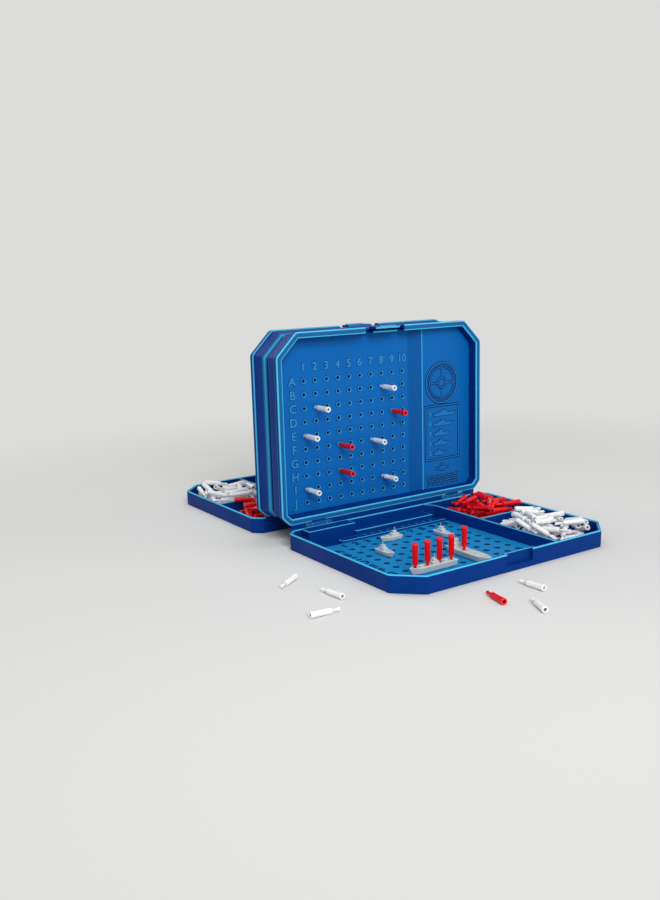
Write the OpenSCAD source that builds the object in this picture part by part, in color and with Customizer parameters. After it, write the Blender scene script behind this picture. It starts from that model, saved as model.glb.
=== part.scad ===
// Two-player fleet guessing game: two identical folding cases, set back to back.
// Each case is a tray with an ocean grid, a lid with a target grid, five ships and pegs.
// Millimetres. +Z is up, +X runs along the hinges, the near player sits on the -Y side.
// The origin is on the table, under the middle of the near tray.

/* [Case] */
// Width of each case, along the hinge
case_w = 250; // [244:1:262]
// Depth of each tray, which is the height of its open lid
case_d = 182; // [178:1:192]
// Height of the tray
tray_h = 16; // [14.5:0.5:19]
// Thickness of the lid, from its rim to its back
lid_t = 22; // [21.5:0.5:26]
// Thickness of the tray's floor
floor_t = 1.6; // [1.2:0.1:2]
// Thickness of the tray's walls
tray_wall = 2.6; // [2:0.1:3.2]
// Thickness of the lid's outer wall and flange
lid_wall = 1.8; // [1.4:0.1:2.4]
// Thickness of the lid's back
lid_back = 1.6; // [1.2:0.1:2]
// Width of the lid's rim, from its outer edge to the target well
rim_w = 6; // [5:0.5:8]
// Corner cut of the front corners, which are the lid's top corners
front_cut = 22; // [16:1:28]
// Corner cut of the corners beside the hinge
hinge_cut = 8.5; // [6:0.5:11]
// Gap between the backs of the two open lids
back_gap = 6; // [4:0.5:20]

/* [Grids] */
// Distance between neighbouring holes
pitch = 13.2; // [12.8:0.1:13.5]
// Rows and columns in each grid
grid_n = 10; // [10:1:10]
// Diameter of every peg hole
hole_d = 3.4; // [3:0.1:3.8]
// From the case's left side to the first column
left_margin = 38.3; // [36:0.5:42]
// From the tray's front to its last row
front_margin = 8.4; // [7.5:0.1:9.5]
// From the lid's hinge side to its last row
lid_row_margin = 15.2; // [12:0.2:18]
// Thickness of the ocean grid
ocean_t = 2.9; // [2.4:0.1:3.4]
// Depth of the target grid below the lid's rim
target_depth = 16.5; // [16:0.1:17.5]
// Thickness of the target grid
target_t = 2; // [1.6:0.1:2.2]
// Height by which the lid's side panel stands above the target grid
side_rise = 5; // [3:0.5:6]
// Width of the slope between target grid and side panel
slope_w = 15; // [10:1:18]

/* [Hinge and latch] */
// Distance of each hinge from the middle of the case
hinge_x = 85; // [60:1:100]
// Length of the lid's hinge barrel
barrel_l = 16; // [10:1:24]
// Length of each hinge lug on the tray
lug_l = 6; // [4:0.5:9]
// Radius of barrels and lugs
barrel_r = 2.7; // [2.4:0.1:3]
// Diameter of the hinge pins
pin_d = 2; // [1.6:0.1:2.4]
// Width of the latch tab
tab_w = 29; // [22:1:40]
// Length of the latch tab below its root
tab_l = 12.5; // [11:0.5:14]
// Thickness of the latch tab
tab_t = 2.2; // [1.8:0.1:2.6]

/* [Pegs] */
// Length of a peg's thick body
peg_body = 21; // [17:0.5:21.5]
// Diameter of a peg's thick body
peg_d = 5.6; // [5:0.1:5.8]
// Length of a peg's tip
peg_tip = 5.2; // [5:0.1:5.6]
// Depth of the socket in a peg's outer end
peg_socket = 3; // [2:0.5:5]

/* [Ships] */
// Height of the two big ships' hulls
ship_h = 6; // [5.8:0.1:6.3]
// Beam of the battleship
battleship_beam = 9; // [8:0.5:11]
// Beam of the cruiser
cruiser_beam = 11; // [9:0.5:12]
// Beam of the patrol boats
boat_beam = 8; // [7:0.5:9]
// Height of the patrol boats' hulls
boat_h = 4.5; // [3.5:0.5:5.5]

/* [Hidden] */
$fn = 48;

// Colours
case_blue = [0.05, 0.30, 0.66];
plate_blue = [0.10, 0.45, 0.76];
ship_grey = [0.72, 0.74, 0.72];
peg_white = [0.95, 0.95, 0.94];
peg_red = [0.85, 0.06, 0.10];
steel = [0.70, 0.71, 0.73];

// Clearances
seat_gap = 0.1;          // a ship or peg above the face that it rests on
fit_gap = 0.08;          // a tip or foot in its hole, on the radius
side_gap = 0.3;          // between neighbouring pieces that don't touch
rim_gap = 0.3;           // between lid and tray when the case is shut
pin_run = 0.05;          // hinge pin in the lid's barrel, on the radius
pin_seat = 0.02;         // hinge pin in the tray's lugs, on the radius
overlap = 0.01;          // extra length of a cutting tool

// The hinge line: half a rim gap above the tray, just outside its back wall
hinge_out = barrel_r + side_gap;
tray_back_y = case_d / 2;
hinge_y = tray_back_y + hinge_out;
hinge_z = tray_h + rim_gap / 2;
lid_rim_y = hinge_y + rim_gap / 2;
lid_foot_z = hinge_z + hinge_out;
set_mid_y = lid_rim_y + lid_t + back_gap / 2;

// Hole rows and columns; v runs from the hinge side to the front of a tray or top of a lid
function col_x(c) = -case_w / 2 + left_margin + (c - 1) * pitch;
function ocean_v(r) = case_d - front_margin - (grid_n - r) * pitch;
function target_v(r) = lid_row_margin + (grid_n - r) * pitch;

// Inside the tray
ocean_z = floor_t + ocean_t;
side_channel = 9.4;      // case's side wall to the ocean grid
number_band = 20.4;      // ocean grid's hinge-side edge to its first row
divider_space = 13.9;    // last column to the divider
ocean_left = -case_w / 2 + tray_wall + side_channel;
ocean_back = ocean_v(1) - number_band;
ocean_corner = 12;
divider_x = col_x(grid_n) + divider_space;
divider_bend_v = 14;
divider_bend_x = 8;
rib_v = 80;
rib_t = 2.2;
bin_x = divider_x + tray_wall;
bin_end_x = case_w / 2 - tray_wall;
shelf_x = [-108, -55];
shelf_depth = 16;
ledge_depth = 19;
ledge_h = 8.5;
strip_left = -81;
strip_w = 9;
strip_gap = 3.4;         // name strip to the ocean grid
strip_rise = 0.8;        // name strip above the ocean grid
strip_h = ocean_z + strip_rise;
strip_v = ocean_back - strip_gap - strip_w;

// Inside the lid
slope_space = 7.9;       // last column to the slope
slope_x = col_x(grid_n) + slope_space;
side_x = slope_x + slope_w;
side_depth = target_depth - side_rise;
lid_floor = lid_t - lid_back;
post_r = 3;
side_post_in = 35;       // side panel's posts from the lid's foot and top

// Latch
notch_w = 9;
notch_d = 8;
tab_cut = tab_t + 1.3;
catch_side = 6;          // latch landing on each side of the tab
catch_w = tab_w + 2 * catch_side;
catch_t = 8;
catch_room = 1.2;        // below the tab's tip when the case is shut
catch_drop = tab_l - notch_d + catch_room;

// Pegs
tip_r = hole_d / 2 - fit_gap;
foot_l = ocean_t - side_gap;
lid_tip_in = lid_floor - target_depth - 0.4;
ship_tip_in = ship_h - 0.9;
ship_hole_depth = ship_h - 0.8;

// Case outline, with every side moved in by t; v is 0 at the hinge side
function cut_in(c, t) = c - t * (2 - sqrt(2));
module outline(t) {
    w = case_w / 2 - t;
    h = cut_in(hinge_cut, t);
    f = cut_in(front_cut, t);
    polygon([
        [-w + h, t], [w - h, t], [w, t + h], [w, case_d - t - f],
        [w - f, case_d - t], [-w + f, case_d - t], [-w, case_d - t - f], [-w, t + h]
    ]);
}

// Places: a tray lies on the table, a lid stands behind it, the far case is turned round
module in_tray() {
    translate([0, tray_back_y, 0]) mirror([0, 1, 0]) children();
}
module in_lid() {
    translate([0, lid_rim_y, lid_foot_z]) rotate([90, 0, 0]) children();
}
module far_side() {
    translate([0, 2 * set_mid_y, 0]) rotate([0, 0, 180]) children();
}
module block(x0, x1, v0, v1, z0, z1) {
    translate([x0, v0, z0]) cube([x1 - x0, v1 - v0, z1 - z0]);
}
module hole_grid(first_v, last_v) {
    for (c = [1 : grid_n])
        for (r = [0 : grid_n - 1])
            translate([col_x(c), first_v + (last_v - first_v) * r / (grid_n - 1)])
                circle(d = hole_d);
}

// Hinge: two lugs on the tray, one barrel on the lid, one pin, on each side
module hinge_rod(r, x0, x1) {
    translate([x0, hinge_y, hinge_z]) rotate([0, 90, 0]) cylinder(r = r, h = x1 - x0);
}
module tray_lugs() {
    for (s = [-1, 1])
        for (e = [-1, 1]) {
            x0 = s * hinge_x + e * (barrel_l / 2 + side_gap + lug_l / 2) - lug_l / 2;
            hinge_rod(barrel_r, x0, x0 + lug_l);
            translate([x0, tray_back_y - overlap, hinge_z - barrel_r])
                cube([lug_l, hinge_out + overlap, barrel_r]);
        }
}
module lid_barrels() {
    for (s = [-1, 1]) {
        x0 = s * hinge_x - barrel_l / 2;
        hinge_rod(barrel_r, x0, x0 + barrel_l);
        translate([x0, hinge_y + rim_gap / 2, hinge_z])
            cube([barrel_l, barrel_r - rim_gap / 2, hinge_out + overlap]);
    }
}
module pin_bores(r) {
    for (s = [-1, 1])
        hinge_rod(r, s * hinge_x - barrel_l, s * hinge_x + barrel_l);
}
module hinge_pins() {
    half = barrel_l / 2 + side_gap + lug_l;
    for (s = [-1, 1])
        hinge_rod(pin_d / 2, s * hinge_x - half, s * hinge_x + half);
}

// Tray: floor, walls, peg bins, tool shelf, ledge, name strip, latch landing
module divider_outline() {
    polygon([
        [divider_x - divider_bend_x, tray_wall - overlap],
        [divider_x - divider_bend_x + tray_wall, tray_wall - overlap],
        [bin_x, divider_bend_v], [bin_x, case_d - tray_wall + overlap],
        [divider_x, case_d - tray_wall + overlap], [divider_x, divider_bend_v]
    ]);
}
module tray_body() {
    linear_extrude(floor_t) outline(0);
    linear_extrude(tray_h) difference() {
        outline(0);
        outline(tray_wall);
    }
    linear_extrude(tray_h) divider_outline();
    block(bin_x - overlap, bin_end_x + overlap, rib_v, rib_v + rib_t, 0, tray_h);
    block(shelf_x[0], shelf_x[1], tray_wall - overlap, shelf_depth, 0, tray_h);
    block(shelf_x[1] - overlap, divider_x - divider_bend_x, tray_wall - overlap,
          ledge_depth, 0, ledge_h);
    linear_extrude(strip_h) {
        translate([strip_left + strip_w / 2, strip_v + strip_w / 2]) circle(d = strip_w);
        translate([strip_left + strip_w / 2, strip_v])
            square([divider_x - strip_left - strip_w / 2 + overlap, strip_w]);
    }
    block(-catch_w / 2, catch_w / 2, case_d - catch_t, case_d - tray_wall + overlap, 0, tray_h);
}
module tray() {
    difference() {
        union() {
            in_tray() tray_body();
            tray_lugs();
        }
        in_tray()
            block(-tab_w / 2 - 2 * side_gap, tab_w / 2 + 2 * side_gap, case_d - tab_cut,
                  case_d + overlap, tray_h - catch_drop, tray_h + overlap);
        pin_bores(pin_d / 2 + pin_seat);
    }
}

// Ocean grid: a raised plate with 100 holes, its near-hinge corner rounded
module ocean_outline() {
    intersection() {
        outline(tray_wall + side_gap);
        union() {
            translate([ocean_left + ocean_corner, ocean_back])
                square([divider_x - side_gap - ocean_left - ocean_corner, case_d]);
            translate([ocean_left, ocean_back + ocean_corner]) square([2 * ocean_corner, case_d]);
            translate([ocean_left + ocean_corner, ocean_back + ocean_corner])
                circle(r = ocean_corner);
        }
    }
}
module ocean_grid() {
    in_tray() translate([0, 0, floor_t]) linear_extrude(ocean_t) difference() {
        ocean_outline();
        hole_grid(ocean_v(1), ocean_v(grid_n));
        translate([-catch_w / 2 - side_gap, case_d - catch_t - side_gap])
            square([catch_w + 2 * side_gap, catch_t]);
    }
}

// Lid: back, outer wall, flat rim and the wall of the target well
module lid_body() {
    translate([0, 0, -lid_t]) linear_extrude(lid_back) outline(0);
    translate([0, 0, -lid_t]) linear_extrude(lid_t) difference() {
        outline(0);
        outline(lid_wall);
    }
    translate([0, 0, -lid_wall]) linear_extrude(lid_wall) difference() {
        outline(0);
        outline(rim_w);
    }
    translate([0, 0, -target_depth]) linear_extrude(target_depth) difference() {
        outline(rim_w - lid_wall);
        outline(rim_w);
    }
}
module lid() {
    half = tab_w / 2 + notch_w;
    difference() {
        union() {
            in_lid() lid_body();
            lid_barrels();
        }
        in_lid() block(-half, half, case_d - tab_cut, case_d + overlap, -notch_d, overlap);
        pin_bores(pin_d / 2 + pin_run);
    }
}

// Target grid: a plate with 100 holes, a slope and the raised side panel
module side_panel() {
    drop = target_t / cos(atan(side_rise / slope_w));
    translate([0, case_d, 0]) rotate([90, 0, 0]) linear_extrude(case_d)
        polygon([
            [slope_x, -target_depth], [side_x, -side_depth], [case_w, -side_depth],
            [case_w, -side_depth - target_t], [side_x, -side_depth - target_t],
            [slope_x, -target_depth - drop]
        ]);
}
module target_grid() {
    in_lid() {
        translate([0, 0, -target_depth - target_t]) linear_extrude(target_t) difference() {
            intersection() {
                outline(lid_wall + side_gap);
                translate([-case_w, 0]) square([case_w + slope_x + overlap, case_d]);
            }
            hole_grid(target_v(grid_n), target_v(1));
        }
        intersection() {
            side_panel();
            translate([0, 0, -lid_t]) linear_extrude(lid_t) outline(rim_w + side_gap);
        }
        for (v = [target_v(grid_n) + pitch / 2, target_v(1) - pitch / 2])
            for (c = [1.5, 9.5])
                translate([col_x(c), v, -lid_floor])
                    cylinder(r = post_r, h = lid_floor - target_depth - target_t / 2);
        for (v = [side_post_in, case_d - side_post_in])
            translate([(side_x + case_w / 2) / 2, v, -lid_floor])
                cylinder(r = post_r, h = lid_floor - side_depth - target_t / 2);
    }
}

// Latch tab: hangs on the lid's top wall between two notches
module latch_tab() {
    in_lid() {
        block(-tab_w / 2, tab_w / 2, case_d - tab_t, case_d, -notch_d + side_gap,
              tab_l - notch_d);
        block(-tab_w / 2 + 4, tab_w / 2 - 4, case_d - overlap, case_d + 1, 1, tab_l - notch_d);
    }
}

// A peg stands on its body's end, with its tip below z = 0
module peg() {
    difference() {
        cylinder(d = peg_d, h = peg_body);
        translate([0, 0, peg_body - peg_socket]) cylinder(d = peg_d / 2, h = peg_socket + 1);
    }
    translate([0, 0, -peg_tip]) cylinder(r = tip_r, h = peg_tip + overlap);
}

// Ships: bow towards +X, keel on z = 0, feet below; every hole is one pitch from the next
function bow_side(length, beam, bow) = [
    for (a = [0 : 15 : 90]) [length - bow + bow * sin(a), beam / 2 * cos(a)]
];
module deck_outline(length, beam, bow) {
    side = bow_side(length, beam, bow);
    polygon(concat(
        [[0, -beam / 3], [0, beam / 3], [beam / 4, beam / 2]], side,
        [for (i = [len(side) - 2 : -1 : 0]) [side[i][0], -side[i][1]]],
        [[beam / 4, -beam / 2]]
    ));
}
module ship_hull(length, beam, height, bow) {
    rake = 3;
    hull() {
        translate([0, 0, height - 1]) linear_extrude(1) deck_outline(length, beam, bow);
        translate([rake / 2, 0, 0]) linear_extrude(0.5)
            deck_outline(length - 1.5 * rake, beam * 0.72, bow);
    }
}
module ship_holes(first, count, height, depth) {
    for (i = [0 : count - 1])
        translate([first + i * pitch, 0, height - depth])
            cylinder(d = hole_d, h = depth + 1);
}
module feet(places) {
    for (x = places)
        translate([x, 0, -foot_l]) cylinder(r = tip_r, h = foot_l + 0.5);
}
battleship_l = 3 * pitch + 10.4;
battleship_stern = 4.6;
module battleship() {
    mid = battleship_stern + 1.5 * pitch;
    difference() {
        ship_hull(battleship_l, battleship_beam, ship_h, 12);
        ship_holes(battleship_stern, 4, ship_h, ship_hole_depth);
    }
    feet([battleship_stern, battleship_stern + 3 * pitch]);
    block(mid - 3.2, mid + 3.2, -2.6, 2.6, ship_h - overlap, ship_h + 2.4);
    block(mid - 2, mid + 1.6, -1.9, 1.9, ship_h + 2.4 - overlap, ship_h + 4.8);
    translate([mid, 0, ship_h + 4.8 - overlap]) cylinder(d = 1.2, h = 4.2);
    translate([mid - pitch, 0, ship_h - overlap]) cylinder(d = 4, h = 1.8);
    translate([mid + pitch, 0, ship_h - overlap]) cylinder(d = 4, h = 1.8);
    block(mid + pitch, mid + pitch + 3.6, -0.5, 0.5, ship_h + 0.8, ship_h + 1.6);
}
cruiser_l = 3 * pitch + 15;
cruiser_stern = 6.4;
module cruiser() {
    difference() {
        ship_hull(cruiser_l, cruiser_beam, ship_h, 17);
        ship_holes(cruiser_stern + pitch, 3, ship_h, ship_hole_depth);
    }
    feet([cruiser_stern, cruiser_stern + 3 * pitch]);
    block(1.8, 10.6, -3.6, 3.6, ship_h - overlap, ship_h + 4.6);
    block(3.4, 9, -2.7, 2.7, ship_h + 4.6 - overlap, ship_h + 7.4);
    translate([6.2, 0, ship_h + 7.4 - overlap]) cylinder(d = 2.6, h = 2);
    translate([6.2, 0, ship_h + 9.2]) cylinder(d = 1, h = 3);
}
boat_l = pitch + 11.4;
boat_stern = 4.6;
module patrol_boat() {
    ship_hull(boat_l, boat_beam, boat_h, 10);
    feet([boat_stern, boat_stern + pitch]);
    block(5.2, 12.4, -2.3, 2.3, boat_h - overlap, boat_h + 2.6);
    block(6.4, 10.4, -1.7, 1.7, boat_h + 2.6 - overlap, boat_h + 4.4);
    translate([8.4, 0, boat_h + 4.4 - overlap]) cylinder(d = 1, h = 3.4);
    translate([16.4, 0, boat_h - overlap]) cylinder(d = 2.2, h = 1.4);
}

// A ship's stern hole stands over column c and row r, with its bow turned by a degrees
module afloat(c, r, stern, a) {
    in_tray() translate([col_x(c), ocean_v(r), ocean_z + seat_gap]) rotate([0, 0, a])
        translate([-stern, 0, 0]) children();
}
module battleship_place() { afloat(4, 8, battleship_stern, 180) children(); }
module cruiser_place() { afloat(6, 6, cruiser_stern, 90) children(); }
module boat_1_place() { afloat(2, 3, boat_stern, 90) children(); }
module boat_2_place() { afloat(5, 1, boat_stern, 180) children(); }
module boat_3_place() { afloat(8, 2, boat_stern, 90) children(); }
module deck_peg(x) {
    translate([x, 0, ship_h + peg_tip - ship_tip_in]) peg();
}
module battleship_pegs() {
    battleship_place() for (i = [0 : 3]) deck_peg(battleship_stern + i * pitch);
}
module cruiser_peg() {
    cruiser_place() deck_peg(cruiser_stern + pitch);
}

// Pegs in the target grid, at [column, row]
miss_marks = [[8, 2], [2, 3], [1, 5], [7, 6], [1, 9], [8, 9]];
hit_marks = [[9, 4], [4, 6], [4, 8]];
module lid_pegs(marks) {
    in_lid() for (m = marks)
        translate([col_x(m[0]), target_v(m[1]), -target_depth + peg_tip - lid_tip_in]) peg();
}

// Heaps: layers of lying pegs, each layer across the one below and smaller than it.
// A bin's size says how many pegs a layer holds.
heap_free = 11.6;        // strip beside the divider that a heap leaves free
heap_edge = 2;           // heap to the case's side wall
heap_end = 3;            // white heap to the rib
heap_corner = 19.5;      // white heap to the front wall, clear of the cut corner
red_heap_end = 8;        // red heap to the rib and to the hinge side
layer_gap = 0.15;        // between layers
row_gap = 1.6;           // between pegs in line
beside_gap = 2;          // between pegs side by side
layers = 4;
turn_sway = 3;
peg_l = peg_body + peg_tip;
layer_h = peg_d + layer_gap;
heap_w = bin_end_x - bin_x - heap_free - heap_edge;
heap_x = bin_x + heap_free + heap_w / 2;
white_v = [rib_v + rib_t + heap_end, case_d - tray_wall - heap_corner];
red_v = [tray_wall + red_heap_end, rib_v - red_heap_end];
function layer_cut(k) = k * (k + 2) * layer_h / 3;
function fit_count(space, size, gap) = max(1, floor((space + gap) / (size + gap)));
function sway(i, k) = sin(i * 97 + k * 61);
module lying_peg(turn) {
    rotate([0, 0, turn]) translate([0, -peg_l / 2, 0]) rotate([-90, 0, 0])
        translate([0, 0, peg_tip]) peg();
}
module peg_layer(v, k, rows, count) {
    across = (k + 1) % 2;
    for (j = [0 : rows - 1])
        for (i = [0 : count - 1]) {
            along = (j - (rows - 1) / 2) * (peg_l + row_gap) + sway(i + 3 * j, k) * row_gap / 3;
            beside = (i - (count - 1) / 2) * (peg_d + beside_gap);
            turn = turn_sway * sway(j + 5 * i, k + 2) + ((i + j + k) % 2) * 180;
            translate([
                heap_x + (across == 1 ? along : beside), v + (across == 1 ? beside : along),
                floor_t + seat_gap + peg_d / 2 + k * layer_h
            ])
                lying_peg(across * 90 + turn);
        }
}
module peg_heap(v_range) {
    in_tray() for (k = [0 : layers - 1]) {
        w = heap_w - layer_cut(k);
        l = v_range[1] - v_range[0] - layer_cut(k);
        across = (k + 1) % 2;
        rows = fit_count(across == 1 ? w : l, peg_l, row_gap);
        count = fit_count(across == 1 ? l : w, peg_d, beside_gap);
        peg_layer((v_range[0] + v_range[1]) / 2, k, rows, count);
    }
}

// Pegs lying on the table beside the near tray, each as [x, y, turn]
loose_miss = [[-176, 1, -58], [-163, -45, -174], [-191, -77, 87], [-25, -129, -178], [-54, -164, 156]];
loose_hit = [-68, -132, 167];
module table_peg(p) {
    translate([p[0], p[1], peg_d / 2]) lying_peg(p[2]);
}

// Parts of the near case
module near_tray() { color(case_blue) tray(); }
module near_ocean_grid() { color(plate_blue) ocean_grid(); }
module near_hinge_pins() { color(steel) hinge_pins(); }
module near_lid() { color(case_blue) lid(); }
module near_target_grid() { color(plate_blue) target_grid(); }
module near_latch_tab() { color(case_blue) latch_tab(); }
module near_battleship() { color(ship_grey) battleship_place() battleship(); }
module near_cruiser() { color(ship_grey) cruiser_place() cruiser(); }
module near_patrol_boat_1() { color(ship_grey) boat_1_place() patrol_boat(); }
module near_patrol_boat_2() { color(ship_grey) boat_2_place() patrol_boat(); }
module near_patrol_boat_3() { color(ship_grey) boat_3_place() patrol_boat(); }
module near_battleship_pegs() { color(peg_red) battleship_pegs(); }
module near_cruiser_peg() { color(peg_red) cruiser_peg(); }
module near_lid_miss_pegs() { color(peg_white) lid_pegs(miss_marks); }
module near_lid_hit_pegs() { color(peg_red) lid_pegs(hit_marks); }
module near_red_peg_heap() { color(peg_red) peg_heap(red_v); }
module near_white_peg_heap() { color(peg_white) peg_heap(white_v); }
module near_loose_miss_pegs() { color(peg_white) for (p = loose_miss) table_peg(p); }
module near_loose_hit_peg() { color(peg_red) table_peg(loose_hit); }

// Parts of the far case
module far_tray() { far_side() near_tray(); }
module far_ocean_grid() { far_side() near_ocean_grid(); }
module far_hinge_pins() { far_side() near_hinge_pins(); }
module far_lid() { far_side() near_lid(); }
module far_target_grid() { far_side() near_target_grid(); }
module far_latch_tab() { far_side() near_latch_tab(); }
module far_battleship() { far_side() near_battleship(); }
module far_cruiser() { far_side() near_cruiser(); }
module far_patrol_boat_1() { far_side() near_patrol_boat_1(); }
module far_patrol_boat_2() { far_side() near_patrol_boat_2(); }
module far_patrol_boat_3() { far_side() near_patrol_boat_3(); }
module far_battleship_pegs() { far_side() near_battleship_pegs(); }
module far_cruiser_peg() { far_side() near_cruiser_peg(); }
module far_lid_miss_pegs() { far_side() near_lid_miss_pegs(); }
module far_lid_hit_pegs() { far_side() near_lid_hit_pegs(); }
module far_red_peg_heap() { far_side() near_red_peg_heap(); }
module far_white_peg_heap() { far_side() near_white_peg_heap(); }

near_tray();
near_ocean_grid();
near_hinge_pins();
near_lid();
near_target_grid();
near_latch_tab();
near_battleship();
near_cruiser();
near_patrol_boat_1();
near_patrol_boat_2();
near_patrol_boat_3();
near_battleship_pegs();
near_cruiser_peg();
near_lid_miss_pegs();
near_lid_hit_pegs();
near_red_peg_heap();
near_white_peg_heap();
near_loose_miss_pegs();
near_loose_hit_peg();
far_tray();
far_ocean_grid();
far_hinge_pins();
far_lid();
far_target_grid();
far_latch_tab();
far_battleship();
far_cruiser();
far_patrol_boat_1();
far_patrol_boat_2();
far_patrol_boat_3();
far_battleship_pegs();
far_cruiser_peg();
far_lid_miss_pegs();
far_lid_hit_pegs();
far_red_peg_heap();
far_white_peg_heap();
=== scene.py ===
# %% [markdown]
# # A fleet guessing game in two folding cases
#
# The set is two equal cases of blue plastic that stand back to back. Each opens like a
# laptop: a tray lies on the table with an ocean grid, ships and peg bins, and its lid stands
# up with a target grid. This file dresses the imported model, whose solids give every size and
# joint. A piece could be modelled by hand in the viewport, but here each is a surface worked
# out with numpy, in millimetres, so that a size is changed by changing a number. It is then
# placed in metres where the model says.

import math

import bmesh
import bpy
import numpy as np
from mathutils import Matrix, Vector
from mathutils.geometry import delaunay_2d_cdt


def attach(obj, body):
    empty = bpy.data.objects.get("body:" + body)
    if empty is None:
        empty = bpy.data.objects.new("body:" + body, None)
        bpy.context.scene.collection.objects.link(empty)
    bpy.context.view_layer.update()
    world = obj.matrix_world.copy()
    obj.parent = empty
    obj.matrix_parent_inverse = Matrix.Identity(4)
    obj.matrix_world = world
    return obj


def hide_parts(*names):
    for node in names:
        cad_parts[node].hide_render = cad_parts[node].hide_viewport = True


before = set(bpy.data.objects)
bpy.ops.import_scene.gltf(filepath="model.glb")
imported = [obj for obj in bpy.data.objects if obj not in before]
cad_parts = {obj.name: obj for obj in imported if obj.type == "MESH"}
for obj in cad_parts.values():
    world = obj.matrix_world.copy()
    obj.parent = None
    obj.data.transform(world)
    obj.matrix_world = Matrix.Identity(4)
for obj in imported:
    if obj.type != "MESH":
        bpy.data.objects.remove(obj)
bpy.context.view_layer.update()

# %% [markdown]
# ## The sizes that the pieces share
#
# A tray is measured as x along the hinges, v from its hinge side to its front, and z up. A
# lid is measured as x, v up from its foot, and w from its rim plane into its depth. The
# pieces could be drawn straight in the room, but a size is easier to read and to check in the
# frame of the part that it belongs to. One function for each turns such points into the room,
# and `far_side` turns them half a turn about the middle of the set, which is where the second
# player's case stands.

# %% Sizes and places
MM = 0.001  # one millimetre in metres
CASE_W, CASE_D = 250.0, 182.0  # a case's width and depth
HINGE_CUT, FRONT_CUT = 8.5, 22.0  # how far its corners are cut back
TRAY_H = 16.0  # a tray's height
PITCH, HOLE_R = 13.2, 1.7  # from hole to hole, and a hole's radius
COLUMNS = -86.7 + PITCH * np.arange(10)
OCEAN_ROWS = 54.8 + PITCH * np.arange(10)
TARGET_ROWS = 134.0 - PITCH * np.arange(10)
OCEAN_TOP = 4.5  # the ocean grid's height over the table
TARGET_FACE = 16.5  # the target grid's depth behind the lid's rim
TRAY_BACK, LID_RIM, SET_MIDDLE = 91.0, 94.15, 119.15  # places along y in the room
LID_FOOT = 19.15  # the height of an open lid's foot
LETTERS = "ABCDEFGHIJ"


def in_tray(p):
    """Tray millimetres (x, v, z) to the room in metres: y = 91 - v."""
    return np.stack([p[:, 0], TRAY_BACK - p[:, 1], p[:, 2]], -1) * MM


def in_lid(p):
    """Lid millimetres (x, v, w) to the room in metres: y = 94.15 + w and z = 19.15 + v."""
    return np.stack([p[:, 0], LID_RIM + p[:, 2], LID_FOOT + p[:, 1]], -1) * MM


def on_table(p):
    """Room millimetres to metres."""
    return p * MM


def far_side(p):
    """Half a turn about the upright line through the middle of the set: (-x, 238.3 - y, z)."""
    return p * [-1, -1, 1] + [0, 2 * SET_MIDDLE * MM, 0]


def on_side(side, place):
    """A place function as the near or the far case needs it."""
    return place if side == "near_" else lambda p: far_side(place(p))


print("grid from", COLUMNS[0], "to", round(COLUMNS[-1], 1), "mm")

# %% [markdown]
# ## Shells, and putting them in the room
#
# A real moulding is one skin. It could be modelled as one welded mesh, but then each rib and
# pad has to be cut into its neighbours. Closed shells that overlap look the same and stay
# simple, so a piece here is a list of shells: each is an array of points, its faces, and for
# each point a tone. The tone is an attribute that the plastic reads: 1 on a rounded edge, where
# it paints a highlight, 0 on plain skin, and -1 deep in a hole or groove, where it paints shade.
# Placing a tray or lid mirrors it, which would turn faces inside out. The signed
# volume of a closed shell is negative when it is inside out, so that is measured, and the
# faces are turned.

# %% Make a piece from shells
SAME_POINT = 2e-6  # metres: points of a shell that lie closer than this are one
SHARP_ANGLE = 32  # degrees: an edge that bends more than this stays sharp


def piece(name, shells, place, material, smooth=SHARP_ANGLE):
    """Joins closed shells into one mesh object whose faces point outwards."""
    joined = bmesh.new()
    joined.verts.layers.float.new("tone")
    for points, faces, tone in shells:
        mesh = bpy.data.meshes.new("shell")
        mesh.from_pydata(place(np.asarray(points, float)).tolist(), [], faces)
        attribute = mesh.attributes.new("tone", "FLOAT", "POINT")
        attribute.data.foreach_set("value", np.asarray(tone, np.float32))
        one = bmesh.new()
        one.from_mesh(mesh)
        bmesh.ops.remove_doubles(one, verts=one.verts, dist=SAME_POINT)
        if one.calc_volume(signed=True) < 0:
            bmesh.ops.reverse_faces(one, faces=one.faces)
        one.to_mesh(mesh)
        joined.from_mesh(mesh)
        one.free()
        bpy.data.meshes.remove(mesh)
    mesh = bpy.data.meshes.new(name)
    joined.to_mesh(mesh)
    joined.free()
    mesh.materials.append(material)
    mesh.shade_smooth()
    mesh.set_sharp_from_angle(angle=math.radians(smooth))
    obj = bpy.data.objects.new(name, mesh)
    bpy.context.scene.collection.objects.link(obj)
    return obj


# %% Make a piece for both cases
def both(name, body, shells, place, material, node=None, finish=None, smooth=SHARP_ANGLE):
    """Makes a piece for the near case and its twin for the far case.

    Each rides on its case's body and may replace a node of the model. finish is a function
    that works on the finished piece, such as a cut."""
    for side in ("near_", "far_"):
        obj = piece(side + name, shells, on_side(side, place), material, smooth)
        if finish:
            finish(obj, side)
        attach(obj, side + body)
        if node:
            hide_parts(side + node)
    print(name, len(obj.data.vertices), "points each")

# %% [markdown]
# ## Forms that many pieces use
#
# Injection-moulded parts are outlines with rounded edges, so four forms make nearly all of
# the set: a stack of rings skinned into a loft, a pad with a rounded top, a lathed form, and
# a flat plate with holes. A cube with a Bevel modifier would give a pad too, but a stack of
# rings says exactly where each bend lies, and carries one tone for each ring.

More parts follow.
